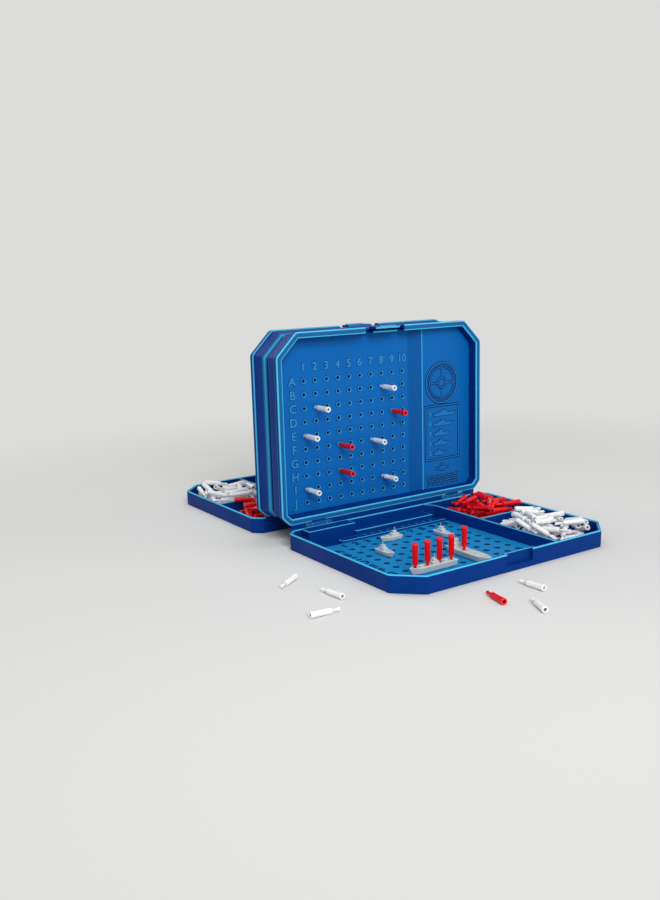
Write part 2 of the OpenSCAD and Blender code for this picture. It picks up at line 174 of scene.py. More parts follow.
# %% Loft
def loft(rings, tone=None, capped=True):
    """Skins a stack of closed rings, an array (rings, points, 3), with quads.

    Each end is closed by one face, if capped. tone gives one number a ring."""
    rings = np.asarray(rings, float)
    m, n = rings.shape[:2]
    i, j = np.meshgrid(np.arange(m - 1), np.arange(n), indexing="ij")
    k = (j + 1) % n
    quads = np.stack([i * n + j, i * n + k, (i + 1) * n + k, (i + 1) * n + j], -1)
    faces = quads.reshape(-1, 4).tolist()
    if capped:
        faces.append(np.arange(n)[::-1].tolist())
        faces.append((np.arange(n) + (m - 1) * n).tolist())
    tone = np.zeros(m) if tone is None else np.asarray(tone, float)
    return rings.reshape(-1, 3), faces, np.repeat(tone, n)


print("a cube's loft has", len(loft([[[0, 0, 0]] * 4, [[0, 0, 1]] * 4])[1]), "faces")


# %% Pads
ROUND = np.radians([0, 30, 60, 90])  # the steps of a rounded edge


def inset(outline, distance):
    """Moves each side of an anticlockwise outline inwards: a corner between sides with
    inward normals a and b moves by distance * (a + b) / (1 + a.b)."""
    outline = np.asarray(outline, float)
    along = np.roll(outline, -1, 0) - outline
    along /= np.linalg.norm(along, axis=1, keepdims=True)
    after = np.stack([-along[:, 1], along[:, 0]], -1)
    before = np.roll(after, 1, 0)
    dot = (after * before).sum(1, keepdims=True)
    return outline + distance * (after + before) / (1 + dot)


def level(outline, z):
    """An outline lifted to height z."""
    return np.column_stack([outline, np.full(len(outline), float(z))])


def pad(outline, z0, z1, bevel):
    """A raised pad with a quarter-round of radius bevel at the top, at angle a:
    inset = bevel * (1 - cos a), height = z1 - bevel * (1 - sin a).

    Only the round gets a painted highlight: one more ring, just inside it, starts the plain top."""
    rings = [level(outline, z0)]
    for t in ROUND:
        moved = inset(outline, bevel * (1 - math.cos(t)))
        rings.append(level(moved, z1 - bevel * (1 - math.sin(t))))
    rings.append(level(inset(outline, bevel * 1.6), z1))
    return loft(rings, [0, 0, 0.8, 1, 0.8, 0])


def box_pad(x0, x1, v0, v1, z0, z1, bevel):
    """A pad on a rectangle."""
    return pad([[x0, v0], [x1, v0], [x1, v1], [x0, v1]], z0, z1, bevel)


print("a box pad has", len(box_pad(0, 1, 0, 1, 0, 1, 0.1)[1]), "faces")

# %% [markdown]
# Pegs, turrets, masts and hinge barrels are round. The Spin tool or a Screw modifier could
# turn a profile, but a circle at each point of the profile is already a stack of rings, so
# the loft makes it, and closes both ends.

# %% Lathe
def lathe(profile, sides, centre=(0, 0), tone=None):
    """Turns a profile of (radius, height) about an upright line: x = r cos a, y = r sin a."""
    profile = np.asarray(profile, float)
    a = np.arange(sides) * 2 * np.pi / sides
    rings = np.stack(
        [
            centre[0] + np.outer(profile[:, 0], np.cos(a)),
            centre[1] + np.outer(profile[:, 0], np.sin(a)),
            np.repeat(profile[:, 1], sides).reshape(-1, sides),
        ],
        -1,
    )
    return loft(rings, tone)


print("a ring of 12 sides has", len(lathe([(1, 0), (1, 1)], 12)[1]), "faces with its caps")

# %% [markdown]
# The case's outline is a rectangle with four cut corners, small beside the hinge and large at
# the front. Its eight corners are rounded. A Bevel modifier could round them, but every wall
# of the case needs this outline again, moved in by its own distance and with the same number
# of points, so a formula gives it. For a corner P between sides with directions d and
# inward normal n, the arc's centre is C = P - d r tan(22.5) + n r, and its points are
# C - n r cos a + d r sin a, for a from 0 to 45 degrees.

# %% The case's outline
CORNER_STEPS = 5
CASE_RADIUS = 5.0
CORNERS_BEFORE_FRONT = 5  # the corners that come before the straight front side


def case_ring(t, radius=CASE_RADIUS, breaks=()):
    """The case's outline moved in by t, anticlockwise in (x, v), with rounded corners.

    breaks are places along the front side, from +x to -x, that get a point of their own, so
    that the tone holds up to a cut there."""
    w, k = CASE_W / 2 - t, t * (2 - math.sqrt(2))
    h, f = HINGE_CUT - k, FRONT_CUT - k
    front = CASE_D - t
    p = np.array(
        [
            [-w + h, t], [w - h, t], [w, t + h], [w, front - f],
            [w - f, front], [-w + f, front], [-w, front - f], [-w, t + h],
        ]
    )
    r = max(radius - t, 0.3)
    d = p - np.roll(p, 1, 0)
    d /= np.linalg.norm(d, axis=1, keepdims=True)
    n = np.stack([-d[:, 1], d[:, 0]], -1)
    centre = p - d * r * math.tan(math.pi / 8) + n * r
    a = np.linspace(0, math.pi / 4, CORNER_STEPS)[None, :, None]
    arc = centre[:, None] - n[:, None] * r * np.cos(a) + d[:, None] * r * np.sin(a)
    one, other = np.split(arc, [CORNERS_BEFORE_FRONT])
    stops = [[x, front] for x in breaks]
    return np.vstack([one.reshape(-1, 2), *stops, other.reshape(-1, 2)])


print("case ring has", len(case_ring(0)), "points")

# %% [markdown]
# A grid is a plate with a hundred holes. They could be cut by a hundred booleans, which is
# slow and leaves ragged slivers. Instead the flat faces between outline and holes are filled
# by one constrained Delaunay triangulation, used for front and back, and rings of quads join
# the two through each hole. A hole's first rings give it a funnel or a raised collar. Their
# tones paint shade down the hole and, on a collar, a highlight on its lip.

# %% Fill between outline and holes
INSIDE_ONLY = 2  # the triangulation's mode that leaves out what lies outside and in holes
ONE_POINT = 1e-5  # millimetres


def circle(x, y, r, n=12):
    """A circle as n points, anticlockwise."""
    a = np.arange(n) * 2 * np.pi / n
    return np.stack([x + r * np.cos(a), y + r * np.sin(a)], -1)


def filled(rims, lines):
    """Fills the plane between an outline and holes with triangles, along the crease lines.

    rims are arrays of points, the outline first. It returns the points, the triangles, and
    for each rim the numbers of its points."""
    ends = np.cumsum([len(rim) for rim in rims])
    curves = np.split(np.arange(ends[-1]), ends[:-1])
    regions = [curves[0].tolist()] + [c[::-1].tolist() for c in curves[1:]]
    creases = [[int(ends[-1]) + 2 * i, int(ends[-1]) + 2 * i + 1] for i in range(len(lines))]
    points = [Vector(p) for p in np.vstack(rims + [np.asarray(line, float) for line in lines])]
    made = delaunay_2d_cdt(points, creases, regions, INSIDE_ONLY, ONE_POINT)
    return np.array([tuple(p) for p in made[0]]), np.array([list(f) for f in made[2]]), curves


print("a square is filled by", len(filled([circle(0, 0, 1, 4)], [])[1]), "triangles")


# %% Plate with holes
def plate(outline, holes, front, back, mouths, lines=(), line_tones=(), bevel=0.35):
    """A plate between the surfaces front(x) and back(x), with round holes.

    A point of the face has the depth front(x), one of the back has back(x), and one of a
    ring between them has front(x) plus the ring's rise. mouths gives each hole its mouth:
    rows of (radius, rise, tone), from the ring that lies on the face to the bore. The
    outline's front edge is moved in by bevel. lines are creases, each two points of the
    plane, with a tone each."""
    sharp = np.asarray(outline, float)
    rims = [circle(x, y, mouth[0][0]) for (x, y), mouth in zip(holes, mouths)]
    flat, triangles, curves = filled([inset(sharp, bevel)] + rims, lines)
    n = len(flat)
    # The bevel round the outline gets a painted highlight, tone 0.6
    steps = [[(sharp, -0.3 * bevel, 0.6), (sharp, -bevel, 0.6)]]
    for (x, y), mouth in zip(holes, mouths):
        steps.append([(circle(x, y, r), rise, tone) for r, rise, tone in mouth[1:]])
    below = flat.copy()
    for rim, rows in zip(curves, steps):
        below[rim] = rows[-1][0]
    tops, bottoms = front(flat[:, 0]), back(below[:, 0])
    outwards = -np.sign(bottoms[0] - tops[0])
    tones = np.zeros(2 * n)
    first = curves[-1][-1] + 1
    tones[first : first + 2 * len(lines)] = np.repeat(line_tones, 2)
    # A hole's rim on the face takes its mouth's first tone, and on the back it gets painted
    # shade, tone -1
    for rim, mouth in zip(curves[1:], mouths):
        tones[rim], tones[n + rim] = mouth[0][2], -1
    points = [np.column_stack([flat, tops]), np.column_stack([below, bottoms])]
    faces = triangles.tolist() + (triangles[:, ::-1] + n).tolist()
    tones, start = [tones], 2 * n
    for k, (rim, rows) in enumerate(zip(curves, steps)):
        rings = [rim] + [start + i * len(rim) + np.arange(len(rim)) for i in range(len(rows))]
        for upper, lower in zip(rings, rings[1:] + [rim + n]):
            quads = np.stack([upper, lower, np.roll(lower, -1), np.roll(upper, -1)], -1)
            faces += (quads[:, ::-1] if k else quads).tolist()
        for ring, rise, tone in rows:
            points.append(np.column_stack([ring, front(ring[:, 0]) + outwards * rise]))
            tones.append(np.full(len(ring), float(tone)))
        start += len(rows) * len(rim)
    return np.vstack(points), faces, np.concatenate(tones)


print("a hole is", 2 * HOLE_R, "mm wide")

# %% [markdown]
# The grids carry plain numbers and letters, moulded with the plate, and the side panel is
# drawn with low ridges. A picture of them as a texture would show no relief from the side.
# Blender's own font gives the characters as a curve that is extruded and made a mesh, and a
# ridge is a path offset to both sides, six lines wide, so that its top is rounded.

# %% Characters
def glyphs(text, size, depth, x, v, z, up, outward, bevel, tone, swell):
    """Raised characters: Blender's own font, extruded, bevelled, and turned into a shell.

    size is the text's size, depth its height above z, up says whether v grows towards the
    top of the characters, outward which way they rise, and swell fattens the strokes."""
    curve = bpy.data.curves.new("text", "FONT")
    curve.body, curve.size = text, size
    curve.align_x, curve.align_y = "CENTER", "CENTER"
    curve.extrude, curve.bevel_depth, curve.resolution_u = depth - bevel, bevel, 5
    curve.offset = swell
    obj = bpy.data.objects.new("text", curve)
    bpy.context.scene.collection.objects.link(obj)
    ready = obj.evaluated_get(bpy.context.evaluated_depsgraph_get())
    mesh = bpy.data.meshes.new_from_object(ready)
    p = np.zeros(len(mesh.vertices) * 3)
    mesh.vertices.foreach_get("co", p)
    p = p.reshape(-1, 3)
    faces = [list(f.vertices) for f in mesh.polygons]
    bpy.data.objects.remove(obj)
    bpy.data.curves.remove(curve)
    bpy.data.meshes.remove(mesh)
    flat = np.column_stack([x + p[:, 0], v + up * p[:, 1], z + outward * p[:, 2]])
    return flat, faces, np.full(len(flat), float(tone))


def lettered(text, size, x, v, z, shade_swell=0.75):
    """A bold raised character with a painted highlight, on a flat dark copy of itself that is
    swollen by shade_swell and paints a shade outline round it.

    It stands on an upright plate, so it rises towards -w."""
    return [
        glyphs(text, size, 0.05, x, v, z, 1, -1, 0.0, -0.9, shade_swell),
        glyphs(text, size, 0.55, x, v, z, 1, -1, 0.12, 0.3, 0.14),
    ]


print("a raised 8 has", len(glyphs("8", 10, 0.5, 0, 0, 0, 1, -1, 0.1, 0, 0)[1]), "faces")


# %% Strokes
def stroke(path, width, z0, z1, closed, tone):
    """A raised line along a path in the plane: offset half the width to each side.

    Its section has six corners: the walls reach 70% of the height, and the top is 60% of
    the width."""
    path = np.asarray(path, float)
    ahead = np.roll(path, -1, 0) - path
    back = path - np.roll(path, 1, 0)
    if not closed:
        ahead[-1], back[0] = back[-1], ahead[0]
    d = ahead / np.linalg.norm(ahead, axis=1, keepdims=True)
    e = back / np.linalg.norm(back, axis=1, keepdims=True)
    t = d + e
    t /= np.linalg.norm(t, axis=1, keepdims=True)
    n = np.stack([-t[:, 1], t[:, 0]], -1) / (t * d).sum(1, keepdims=True)
    half, shoulder = width / 2, z1 - (z1 - z0) * 0.3
    section = ((-half, z0), (-half, shoulder), (-half * 0.6, z1),
               (half * 0.6, z1), (half, shoulder), (half, z0))
    points = np.vstack([level(path + n * s, z) for s, z in section])
    m = len(path)
    i = np.arange(m if closed else m - 1)
    after = (i + 1) % m
    faces = []
    for k in range(6):
        a, b = k * m, ((k + 1) % 6) * m
        faces += np.stack([a + i, a + after, b + after, b + i], -1).tolist()
    if not closed:
        faces.append([k * m for k in range(6)])
        faces.append([k * m + m - 1 for k in range(6)][::-1])
    return points, faces, np.repeat([tone * 0.3, tone, tone, tone, tone, tone * 0.3], m)


straight = stroke([[0, 0], [1, 0]], 1, 0, 1, False, 0)
print("a straight stroke has", len(straight[1]), "faces")

# %% [markdown]
# ## Finishes
#
# Cases, grids and ships are injection-moulded polystyrene, index 1.59: hard, coloured right
# through, with a satin grain from the etched mould. Pegs are polyethylene, index 1.51: waxy,
# and a little translucent. A single colour would look like paint on card, and a picture of
# plastic would stretch over the walls, so the finish is worked out at each point: soft clouds
# in colour and gloss, a fine grain as relief, and the tone, which paints highlights on rims and
# shade in holes and grooves. All patterns read Object coordinates, which are metres here, so a
# scale of 1 / size in metres gives a pattern of that size.

# %% Colours and nodes
def linear(code):
    """An sRGB hex colour as linear values: c / 12.92 up to 0.04045, and above it
    ((c + 0.055) / 1.055) ^ 2.4."""
    c = np.array([int(code[i : i + 2], 16) for i in (1, 3, 5)]) / 255
    low, high = c / 12.92, ((c + 0.055) / 1.055) ** 2.4
    return (*np.where(c <= 0.04045, low, high).tolist(), 1.0)


def add(tree, kind, sockets=None, **settings):
    """Adds one node: settings are its properties, and sockets gives values or links by name.

    A link is written as (node, output)."""
    made = tree.nodes.new("ShaderNode" + kind)
    for key, value in settings.items():
        setattr(made, key, value)
    for key, value in (sockets or {}).items():
        if isinstance(value, tuple) and isinstance(value[0], bpy.types.Node):
            tree.links.new(value[0].outputs[value[1]], made.inputs[key])
        else:
            made.inputs[key].default_value = value
    return made


def finish_named(name):
    """A new material, with its node tree and its shader."""
    material = bpy.data.materials.new(name)
    material.use_nodes = True
    return material, material.node_tree, material.node_tree.nodes["Principled BSDF"]


print("mid grey is", round(linear("#808080")[0], 3), "as a linear value")

# %% Moulded plastic
GRAIN = 0.0006  # metres: coarser than the real etched grain, so that it shows
GRAIN_HEIGHT = 0.0002


def blend(tree, factor, one, other):
    """A node that mixes two colours."""
    return add(tree, "Mix", {0: factor, 6: one, 7: other}, data_type="RGBA")


def moulded(name, colour, edge_colour, deep_colour, shade, ior, roughness, bump=0.06,
            scatter=0.0, radius=(0.001, 0.001, 0.001), cloud=0.05, gleam=0.5):
    """Moulded plastic: two near tones in soft clouds, a painted highlight where the tone
    attribute is above 0 and painted shade where it is below, and a fine satin grain in gloss and
    relief.

    cloud is the clouds' size in metres, and gleam is the specular level."""
    material, tree, shader = finish_named(name)
    place = (add(tree, "TexCoord"), "Object")
    clouds = add(tree, "TexNoise", {"Vector": place, "Scale": 1 / cloud, "Detail": 3.0})
    skin = blend(tree, (clouds, "Fac"), linear(colour), linear(shade))
    tone = (add(tree, "Attribute", attribute_name="tone"), "Fac")
    # Painted shade: towards the deep colour where the tone is below 0
    deep = add(tree, "MapRange", {"Value": tone, "From Min": 0.0, "From Max": -1.0})
    dark = blend(tree, (deep, "Result"), (skin, 2), linear(deep_colour))
    # Painted highlight: towards the edge colour where the tone is above 0
    painted_highlight = add(tree, "MapRange", {"Value": tone})
    full = blend(tree, (painted_highlight, "Result"), (dark, 2), linear(edge_colour))
    tree.links.new(full.outputs[2], shader.inputs["Base Color"])
    fine = add(tree, "TexNoise", {"Vector": place, "Scale": 1 / GRAIN, "Detail": 2.0})
    gloss = add(tree, "MapRange", {"Value": (clouds, "Fac"), "From Min": 0.35, "From Max": 0.65,
                                   "To Min": roughness * 0.85, "To Max": roughness * 1.2})
    tree.links.new(gloss.outputs["Result"], shader.inputs["Roughness"])
    relief = add(tree, "Bump", {"Height": (fine, "Fac"), "Strength": bump,
                                "Distance": GRAIN_HEIGHT})
    tree.links.new(relief.outputs["Normal"], shader.inputs["Normal"])
    shader.inputs["IOR"].default_value = ior
    shader.inputs["Specular IOR Level"].default_value = gleam
    if scatter:
        shader.inputs["Subsurface Weight"].default_value = scatter
        shader.inputs["Subsurface Radius"].default_value = radius
        shader.inputs["Subsurface Scale"].default_value = 1.0
    return material


print("the grain is", round(GRAIN / MM, 1), "mm wide")

# %% The set's plastics
POLYSTYRENE, POLYETHYLENE = 1.59, 1.51  # index of refraction

# Each gives its colour, a painted highlight for rounded edges, painted shade for holes, grooves
# and outlines, and a second colour for the clouds
# Case: deep navy polystyrene, satin, with a painted highlight of bright sky blue on its rims
case_blue = moulded(
    "moulded_polystyrene_case_blue", "#02388A", "#52CCF4", "#01133A", "#022F77",
    POLYSTYRENE, 0.42, gleam=0.045)
# Target grids: the same plastic in a lighter blue, a little more satin
target_blue = moulded(
    "moulded_polystyrene_target_blue", "#0A6FBE", "#5CC8F0", "#021C5C", "#075FAC",
    POLYSTYRENE, 0.42, cloud=0.09, gleam=0.07)
# Ocean grids: lighter and greener again, which paints the stronger light on the upturned plate
ocean_blue = moulded(
    "moulded_polystyrene_ocean_blue", "#1E8DC6", "#6CD2F0", "#011449", "#127CBC",
    POLYSTYRENE, 0.42, cloud=0.09, gleam=0.07)
# Ships: light grey polystyrene with a dull satin skin
ship_grey = moulded(
    "moulded_polystyrene_ship_grey", "#C6CCCC", "#ECEFEE", "#50555A", "#BCC3C4",
    POLYSTYRENE, 0.45, bump=0.1)
# Pegs: waxy polyethylene, bright white and signal red, which let a little light in
peg_white = moulded(
    "moulded_polyethylene_peg_white", "#F5F5F4", "#FAFAF9", "#8C9096", "#F1F2F1",
    POLYETHYLENE, 0.35, scatter=0.35, radius=(0.0025, 0.0025, 0.0024))
peg_red = moulded(
    "moulded_polyethylene_peg_red", "#EC0610", "#F6303A", "#5C0006", "#E2040E",
    POLYETHYLENE, 0.33, scatter=0.08, radius=(0.0012, 0.0003, 0.0002), gleam=0.25)

for plastic in (case_blue, target_blue, ocean_blue, ship_grey, peg_white, peg_red):
    print(plastic.name, "has", len(plastic.node_tree.nodes), "nodes")

# %% [markdown]
# The hinge pins are cold-drawn steel wire. Drawing leaves hair-fine scratches along the wire,
# so its gloss comes from noise that is stretched along x: 33 mm long and 0.25 mm wide. An
# Anisotropic BSDF could do it, but at 1.5 mm across the pin shows no more than this. The pins'
# own solids are right, so they only change their material.

# %% The hinge pins' steel
SCRATCH_SCALE = (30, 4000, 4000)  # one over a scratch's size in metres, along x, y and z
wire, tree, shader = finish_named("drawn_steel_hinge_pin")
stretched = add(tree, "Mapping", {"Vector": (add(tree, "TexCoord"), "Object"),
                                  "Scale": SCRATCH_SCALE})
scratches = add(tree, "TexNoise", {"Vector": (stretched, "Vector"), "Scale": 1.0, "Detail": 2.0})
gloss = add(tree, "MapRange", {"Value": (scratches, "Fac"), "To Min": 0.2, "To Max": 0.42})
tree.links.new(gloss.outputs["Result"], shader.inputs["Roughness"])
shader.inputs["Base Color"].default_value = linear("#B9BBBE")
shader.inputs["Metallic"].default_value = 1.0
for side in ("near_", "far_"):
    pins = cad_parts[side + "hinge_pins"]
    pins.data.materials.clear()
    pins.data.materials.append(wire)
print("hinge pins now in", wire.name)

# %% [markdown]
# ## The tray
#
# The tray is a shallow tub with thin walls, a shelf and two dividers. A box with a Solidify
# modifier would give walls of one thickness with square rims. The real wall leans, thins
# towards its top and ends in a rim with two rounded edges, so its section is written down
# as a profile, from under the floor, up the outside, over the rim and down the inside, and
# carried round the case's outline. The rim's rounded edges get a painted highlight. The latch's
# recess is one short cut across the front, so a boolean takes it out. Dividers, shelf, strip
# and landing are pads that overlap the tub.

# %% Tray walls
TRAY_PROFILE = np.array(
    [
        # inset, height, tone: the tone paints highlights on the rim's rounded edges
        [1.6, 0.0, 0], [0.7, 0.25, 0], [0.35, 1.0, 0], [0.33, 1.6, 0], [0.01, 14.4, 0],
        [0.0, 14.9, 0], [0.05, 15.3, 0.8], [0.3, 15.85, 1], [0.75, 16.0, 1], [1.0, 16.0, 0.15],
        [1.8, 16.0, 0.15], [2.0, 16.0, 0.9], [2.35, 15.8, 1], [2.55, 15.3, 0.6],
        [2.62, 14.9, 0], [2.63, 14.4, 0], [2.89, 3.3, 0], [2.9, 2.8, 0], [3.3, 1.95, 0],
        [4.2, 1.6, 0], [4.9, 1.6, 0],
    ]
)
RECESS_X, RECESS_V = 15.1, 178.4  # the latch's recess: half its width, and its back


def ringed(profile, radius, breaks):
    """The rings of a profile of (inset, height, tone) carried round the case's outline."""
    return [level(case_ring(t, radius, breaks), z) for t, z, _ in profile]


def apply_cut(obj, side, place, shells):
    """Subtracts closed shells from a piece and keeps the result as its mesh."""
    cutter = piece("cutter", shells, on_side(side, place), obj.data.materials[0])
    cut = obj.modifiers.new("cut", "BOOLEAN")
    cut.operation, cut.solver, cut.object = "DIFFERENCE", "EXACT", cutter
    ready = obj.evaluated_get(bpy.context.evaluated_depsgraph_get())
    mesh = bpy.data.meshes.new_from_object(ready)
    obj.modifiers.clear()
    old = obj.data
    obj.data = mesh
    bpy.data.meshes.remove(old)
    mesh.name = obj.name
    mesh.set_sharp_from_angle(angle=math.radians(SHARP_ANGLE))
    bpy.data.objects.remove(cutter)


def cut_recess(obj, side):
    """Cuts the latch's recess out of the tray's front wall."""
    outside = CASE_D + 2
    box = [[-RECESS_X, RECESS_V], [RECESS_X, RECESS_V], [RECESS_X, outside], [-RECESS_X, outside]]
    apply_cut(obj, side, in_tray, [loft([level(box, 5.7), level(box, 18)])])


walls = loft(ringed(TRAY_PROFILE, CASE_RADIUS, (15.3, -15.3)), TRAY_PROFILE[:, 2])
both("tray_shell", "tray", [walls], in_tray, case_blue, "tray", cut_recess)

# %% Tray fittings
# Each outline is in (x, v): the long divider, the long strip with one round end, and the
# landing that the latch comes down on
DIVIDER = [[38, 2.3], [40.6, 2.3], [48.6, 14], [48.6, 179.8], [46, 179.8], [46, 14]]
a = np.radians(np.linspace(90, 270, 9))
STRIP = np.column_stack([-76.5 + 4.5 * np.cos(a), 26.5 + 4.5 * np.sin(a)])
STRIP = np.vstack([STRIP, [[46.5, 22], [46.5, 31]]])
LANDING_V = 175.6  # the landing's edge towards the ocean grid
LANDING = [[-20.5, LANDING_V], [20.5, LANDING_V], [20.5, 180], [RECESS_X, 180],
           [RECESS_X, RECESS_V], [-RECESS_X, RECESS_V], [-RECESS_X, 180], [-20.5, 180]]
SUNK, INNER_TOP = 1, TRAY_H - 0.05  # fittings start inside the floor and end below the rim
fittings = [
    pad(DIVIDER, SUNK, INNER_TOP, 0.55),
    box_pad(48, 122.6, 80, 82.2, SUNK, INNER_TOP - 0.05, 0.55),  # between the peg bins
    box_pad(-108, -55, 2, 16, SUNK, INNER_TOP, 0.6),  # the shelf's high part
    box_pad(-56, 39, 2, 19, SUNK, 8.5, 0.6),  # and its low part
    pad(STRIP, SUNK, 5.3, 0.4),
    pad(LANDING, SUNK, INNER_TOP, 0.5),
]
both("tray_fittings", "tray", fittings, in_tray, case_blue)

# %% [markdown]
# ## The ocean grid
#
# The ships stand on a plateau with a hundred funnel-mouthed sockets, letters down its side
# and numbers along its top. It is a lighter blue than the tub, so it is a piece of its own:
# one plate with sockets, closed below by small cups in painted shade. The four sockets in front
# of the latch's landing have narrow mouths, because there is no room for more. The characters
# read as sunk, so they are flat, with painted shade in place of the depth, which costs far fewer
# faces than cutting them out.

# %% Ocean grid
OCEAN_BACK = 1.7  # the height of the plate's underside
# The mouths' tones paint shade down into each socket
FUNNEL = [(HOLE_R + 1.5, 0, 0), (HOLE_R + 1.35, -0.12, -0.8), (HOLE_R, -1.4, -1)]
NARROW = [(HOLE_R + 0.1, 0, 0), (HOLE_R + 0.05, -0.1, -0.8), (HOLE_R, -0.3, -1)]


def ocean_outline():
    """The plate's outline: one rounded corner, the divider, the landing and the walls."""
    a = np.radians(np.linspace(180, 270, 9))
    corner = np.column_stack([-101 + 12 * np.cos(a), 46.4 + 12 * np.sin(a)])
    front, landing = 179.1, LANDING_V - 0.05
    straight = [[45.7, 34.4], [45.7, front], [20.8, front], [20.8, landing],
                [-20.8, landing], [-20.8, front], [-102.3, front], [-113, 168.4]]
    return np.vstack([corner, straight])


def flat_at(height):
    """A surface of one height, as the plate function needs it."""
    return lambda x: 0 * x + height


ocean_holes = [(x, v) for x in COLUMNS for v in OCEAN_ROWS]
mouths = [NARROW if v > 170 and abs(x) < 24 else FUNNEL for x, v in ocean_holes]
ocean = [
    plate(ocean_outline(), ocean_holes, flat_at(OCEAN_TOP), flat_at(OCEAN_BACK), mouths,
          bevel=0.1)
]
# Each socket is closed below by a small cup in painted shade, tone -1
for x, v in ocean_holes:
    ocean.append(lathe([(1.68, OCEAN_BACK), (1.68, 2.1)], 12, (x, v), [-1, -1]))
# The characters are flat and dark, tone -0.95: painted shade in place of sunk ones
for i in range(10):
    for text, size, x, v in ((str(i + 1), 11.5, COLUMNS[i], 43.0),
                             (LETTERS[i], 13.0, -101.0, OCEAN_ROWS[i])):
        ocean.append(glyphs(text, size, 0.3, x, v, OCEAN_TOP, -1, 1, 0.05, -0.95, 0.3))
both("ocean_plate", "tray", ocean, in_tray, ocean_blue, "ocean_grid")

# %% [markdown]
# ## The lid
#
# A lid is a tray turned inside out: a rim, an outer wall that steps in behind the rim and
# leans in towards a rounded back, and a well whose wall runs down to the target grid. The
# same profile-and-outline way makes it. Its skin has an outside and an inside that meet at
# the well's foot, so the loft's ends are joined to each other instead of being capped.

# %% Lid
LID_PROFILE = np.array(
    [
        # inset, depth, tone: from the well's foot over the rim and round the back; the tone
        # paints highlights on the rounded edges
        [6.0, 17.0, 0], [5.98, 2.2, 0], [5.97, 1.6, 0], [5.9, 0.7, 0.9], [5.6, 0.15, 1],
        [5.2, 0.0, 0.9], [4.6, 0.0, 0.15], [1.4, 0.0, 0.15], [0.9, 0.0, 0.9], [0.3, 0.25, 1],
        [0.0, 0.8, 0.7], [0.0, 1.4, 0], [0.0, 4.4, 0], [0.05, 4.9, 0.8], [0.3, 5.3, 0.8],
        [1.3, 5.6, 0.1], [1.5, 6.1, 0], [1.54, 6.8, 0], [2.26, 17.7, 0], [2.3, 18.4, 0],
        [2.8, 20.3, 0.2], [4.0, 21.5, 0.5], [5.6, 22.0, 0.2], [6.6, 22.0, 0], [14.0, 22.0, 0],
        # and back to the foot inside the wall
        [14.0, 20.4, 0], [6.2, 20.4, 0], [4.3, 19.4, 0], [3.4, 6.0, 0], [3.4, 2.0, 0],
        [4.6, 2.0, 0], [4.6, 17.0, 0],
    ]
)
OUTSIDE_RINGS = 25  # how many of its rows lie outside
LID_RADIUS = 6.0
NOTCH_BREAKS = (23.7, 14.3, -14.3, -23.7)  # just beyond the finger notches' edges


def lid_shell():
    """Outside and inside in one closed skin: the last ring meets the first at the well's
    foot, and the back is closed by a face outside and a face inside."""
    rings = ringed(LID_PROFILE, LID_RADIUS, NOTCH_BREAKS)
    points, faces, tone = loft(rings, LID_PROFILE[:, 2], capped=False)
    n = len(rings[0])
    a = np.arange(n)
    b = np.roll(a, -1)
    outside, inside = (OUTSIDE_RINGS - 1) * n, OUTSIDE_RINGS * n
    del faces[outside:inside]
    last = (len(rings) - 1) * n
    faces += np.stack([last + a, last + b, b, a], -1).tolist()
    faces += [(outside + a).tolist(), (inside + a)[::-1].tolist()]
    return points, faces, tone


def cut_notches(obj, side):
    """Cuts the two finger notches beside the latch tab out of the lid's top wall."""
    far, near, low, middle, high = 23.5, 14.5, 174.0, 178.2, CASE_D + 1
    outline = [[-far, high], [-far, low], [-near, low], [-near, middle],
               [near, middle], [near, low], [far, low], [far, high]]
    apply_cut(obj, side, in_lid, [loft([level(outline, -1), level(outline, 8)])])


both("lid_shell", "lid", [lid_shell()], in_lid, case_blue, "lid", cut_notches)

# %% [markdown]
# ## The target grid
#
# Players mark their shots on this upright plate. Each hole stands in a raised collar, and at
# the right the plate steps up to a side panel by a soft slope. Bending a flat plate with a
# modifier would bend its holes too, so the plate's depth is a function of x, and creases in
# the triangulation keep the slope's edges straight.

# %% Target grid
SLOPE_X = [38.5, 40, 41.5, 53.5, 55, 56.5]
SLOPE_RISE = [0, 0.15, 0.55, 4.45, 4.85, 5]
CREASES = (38.5, 40, 41.5, 53.5, 54.4, 55, 55.6, 56.5)
# The crease tones paint shade on the slope and a highlight along the side panel's edge
CREASE_TONES = (0, -0.2, -0.3, -0.3, -0.15, 1.0, 0, 0)
# The collar's tones paint shade in the groove round it and down the bore, and a highlight on its
# lip
COLLAR = [(3.45, 0, 0), (3.1, -0.08, -0.9), (2.8, 0.5, 0), (2.4, 0.75, 0.6), (1.85, 0.5, 0.3),
          (HOLE_R, -1.5, -0.25)]
THICK, EDGE = 2, 4.9  # the plate's thickness, and how far it lies inside the case's outline


def target_front(x):
    """The depth of the plate's face: flat, then a rounded slope up to the side panel."""
    return TARGET_FACE - np.interp(x, SLOPE_X, SLOPE_RISE)


def target_back(x):
    """The depth of the plate's back."""
    return target_front(x) + THICK


target_holes = [(x, v) for x in COLUMNS for v in TARGET_ROWS]
lines = [((x, 6.5), (x, CASE_D - 6.5)) for x in CREASES]
target = [
    plate(case_ring(EDGE, EDGE + 1), target_holes, target_front, target_back,
          [COLLAR] * len(target_holes), lines, CREASE_TONES)
]
for i in range(10):
    target += lettered(str(i + 1), 10.8, COLUMNS[i], 147.0, TARGET_FACE)
    target += lettered(LETTERS[i], 11.6, -99.5, TARGET_ROWS[i], TARGET_FACE)
both("target_plate", "lid", target, in_lid, target_blue, "target_grid")

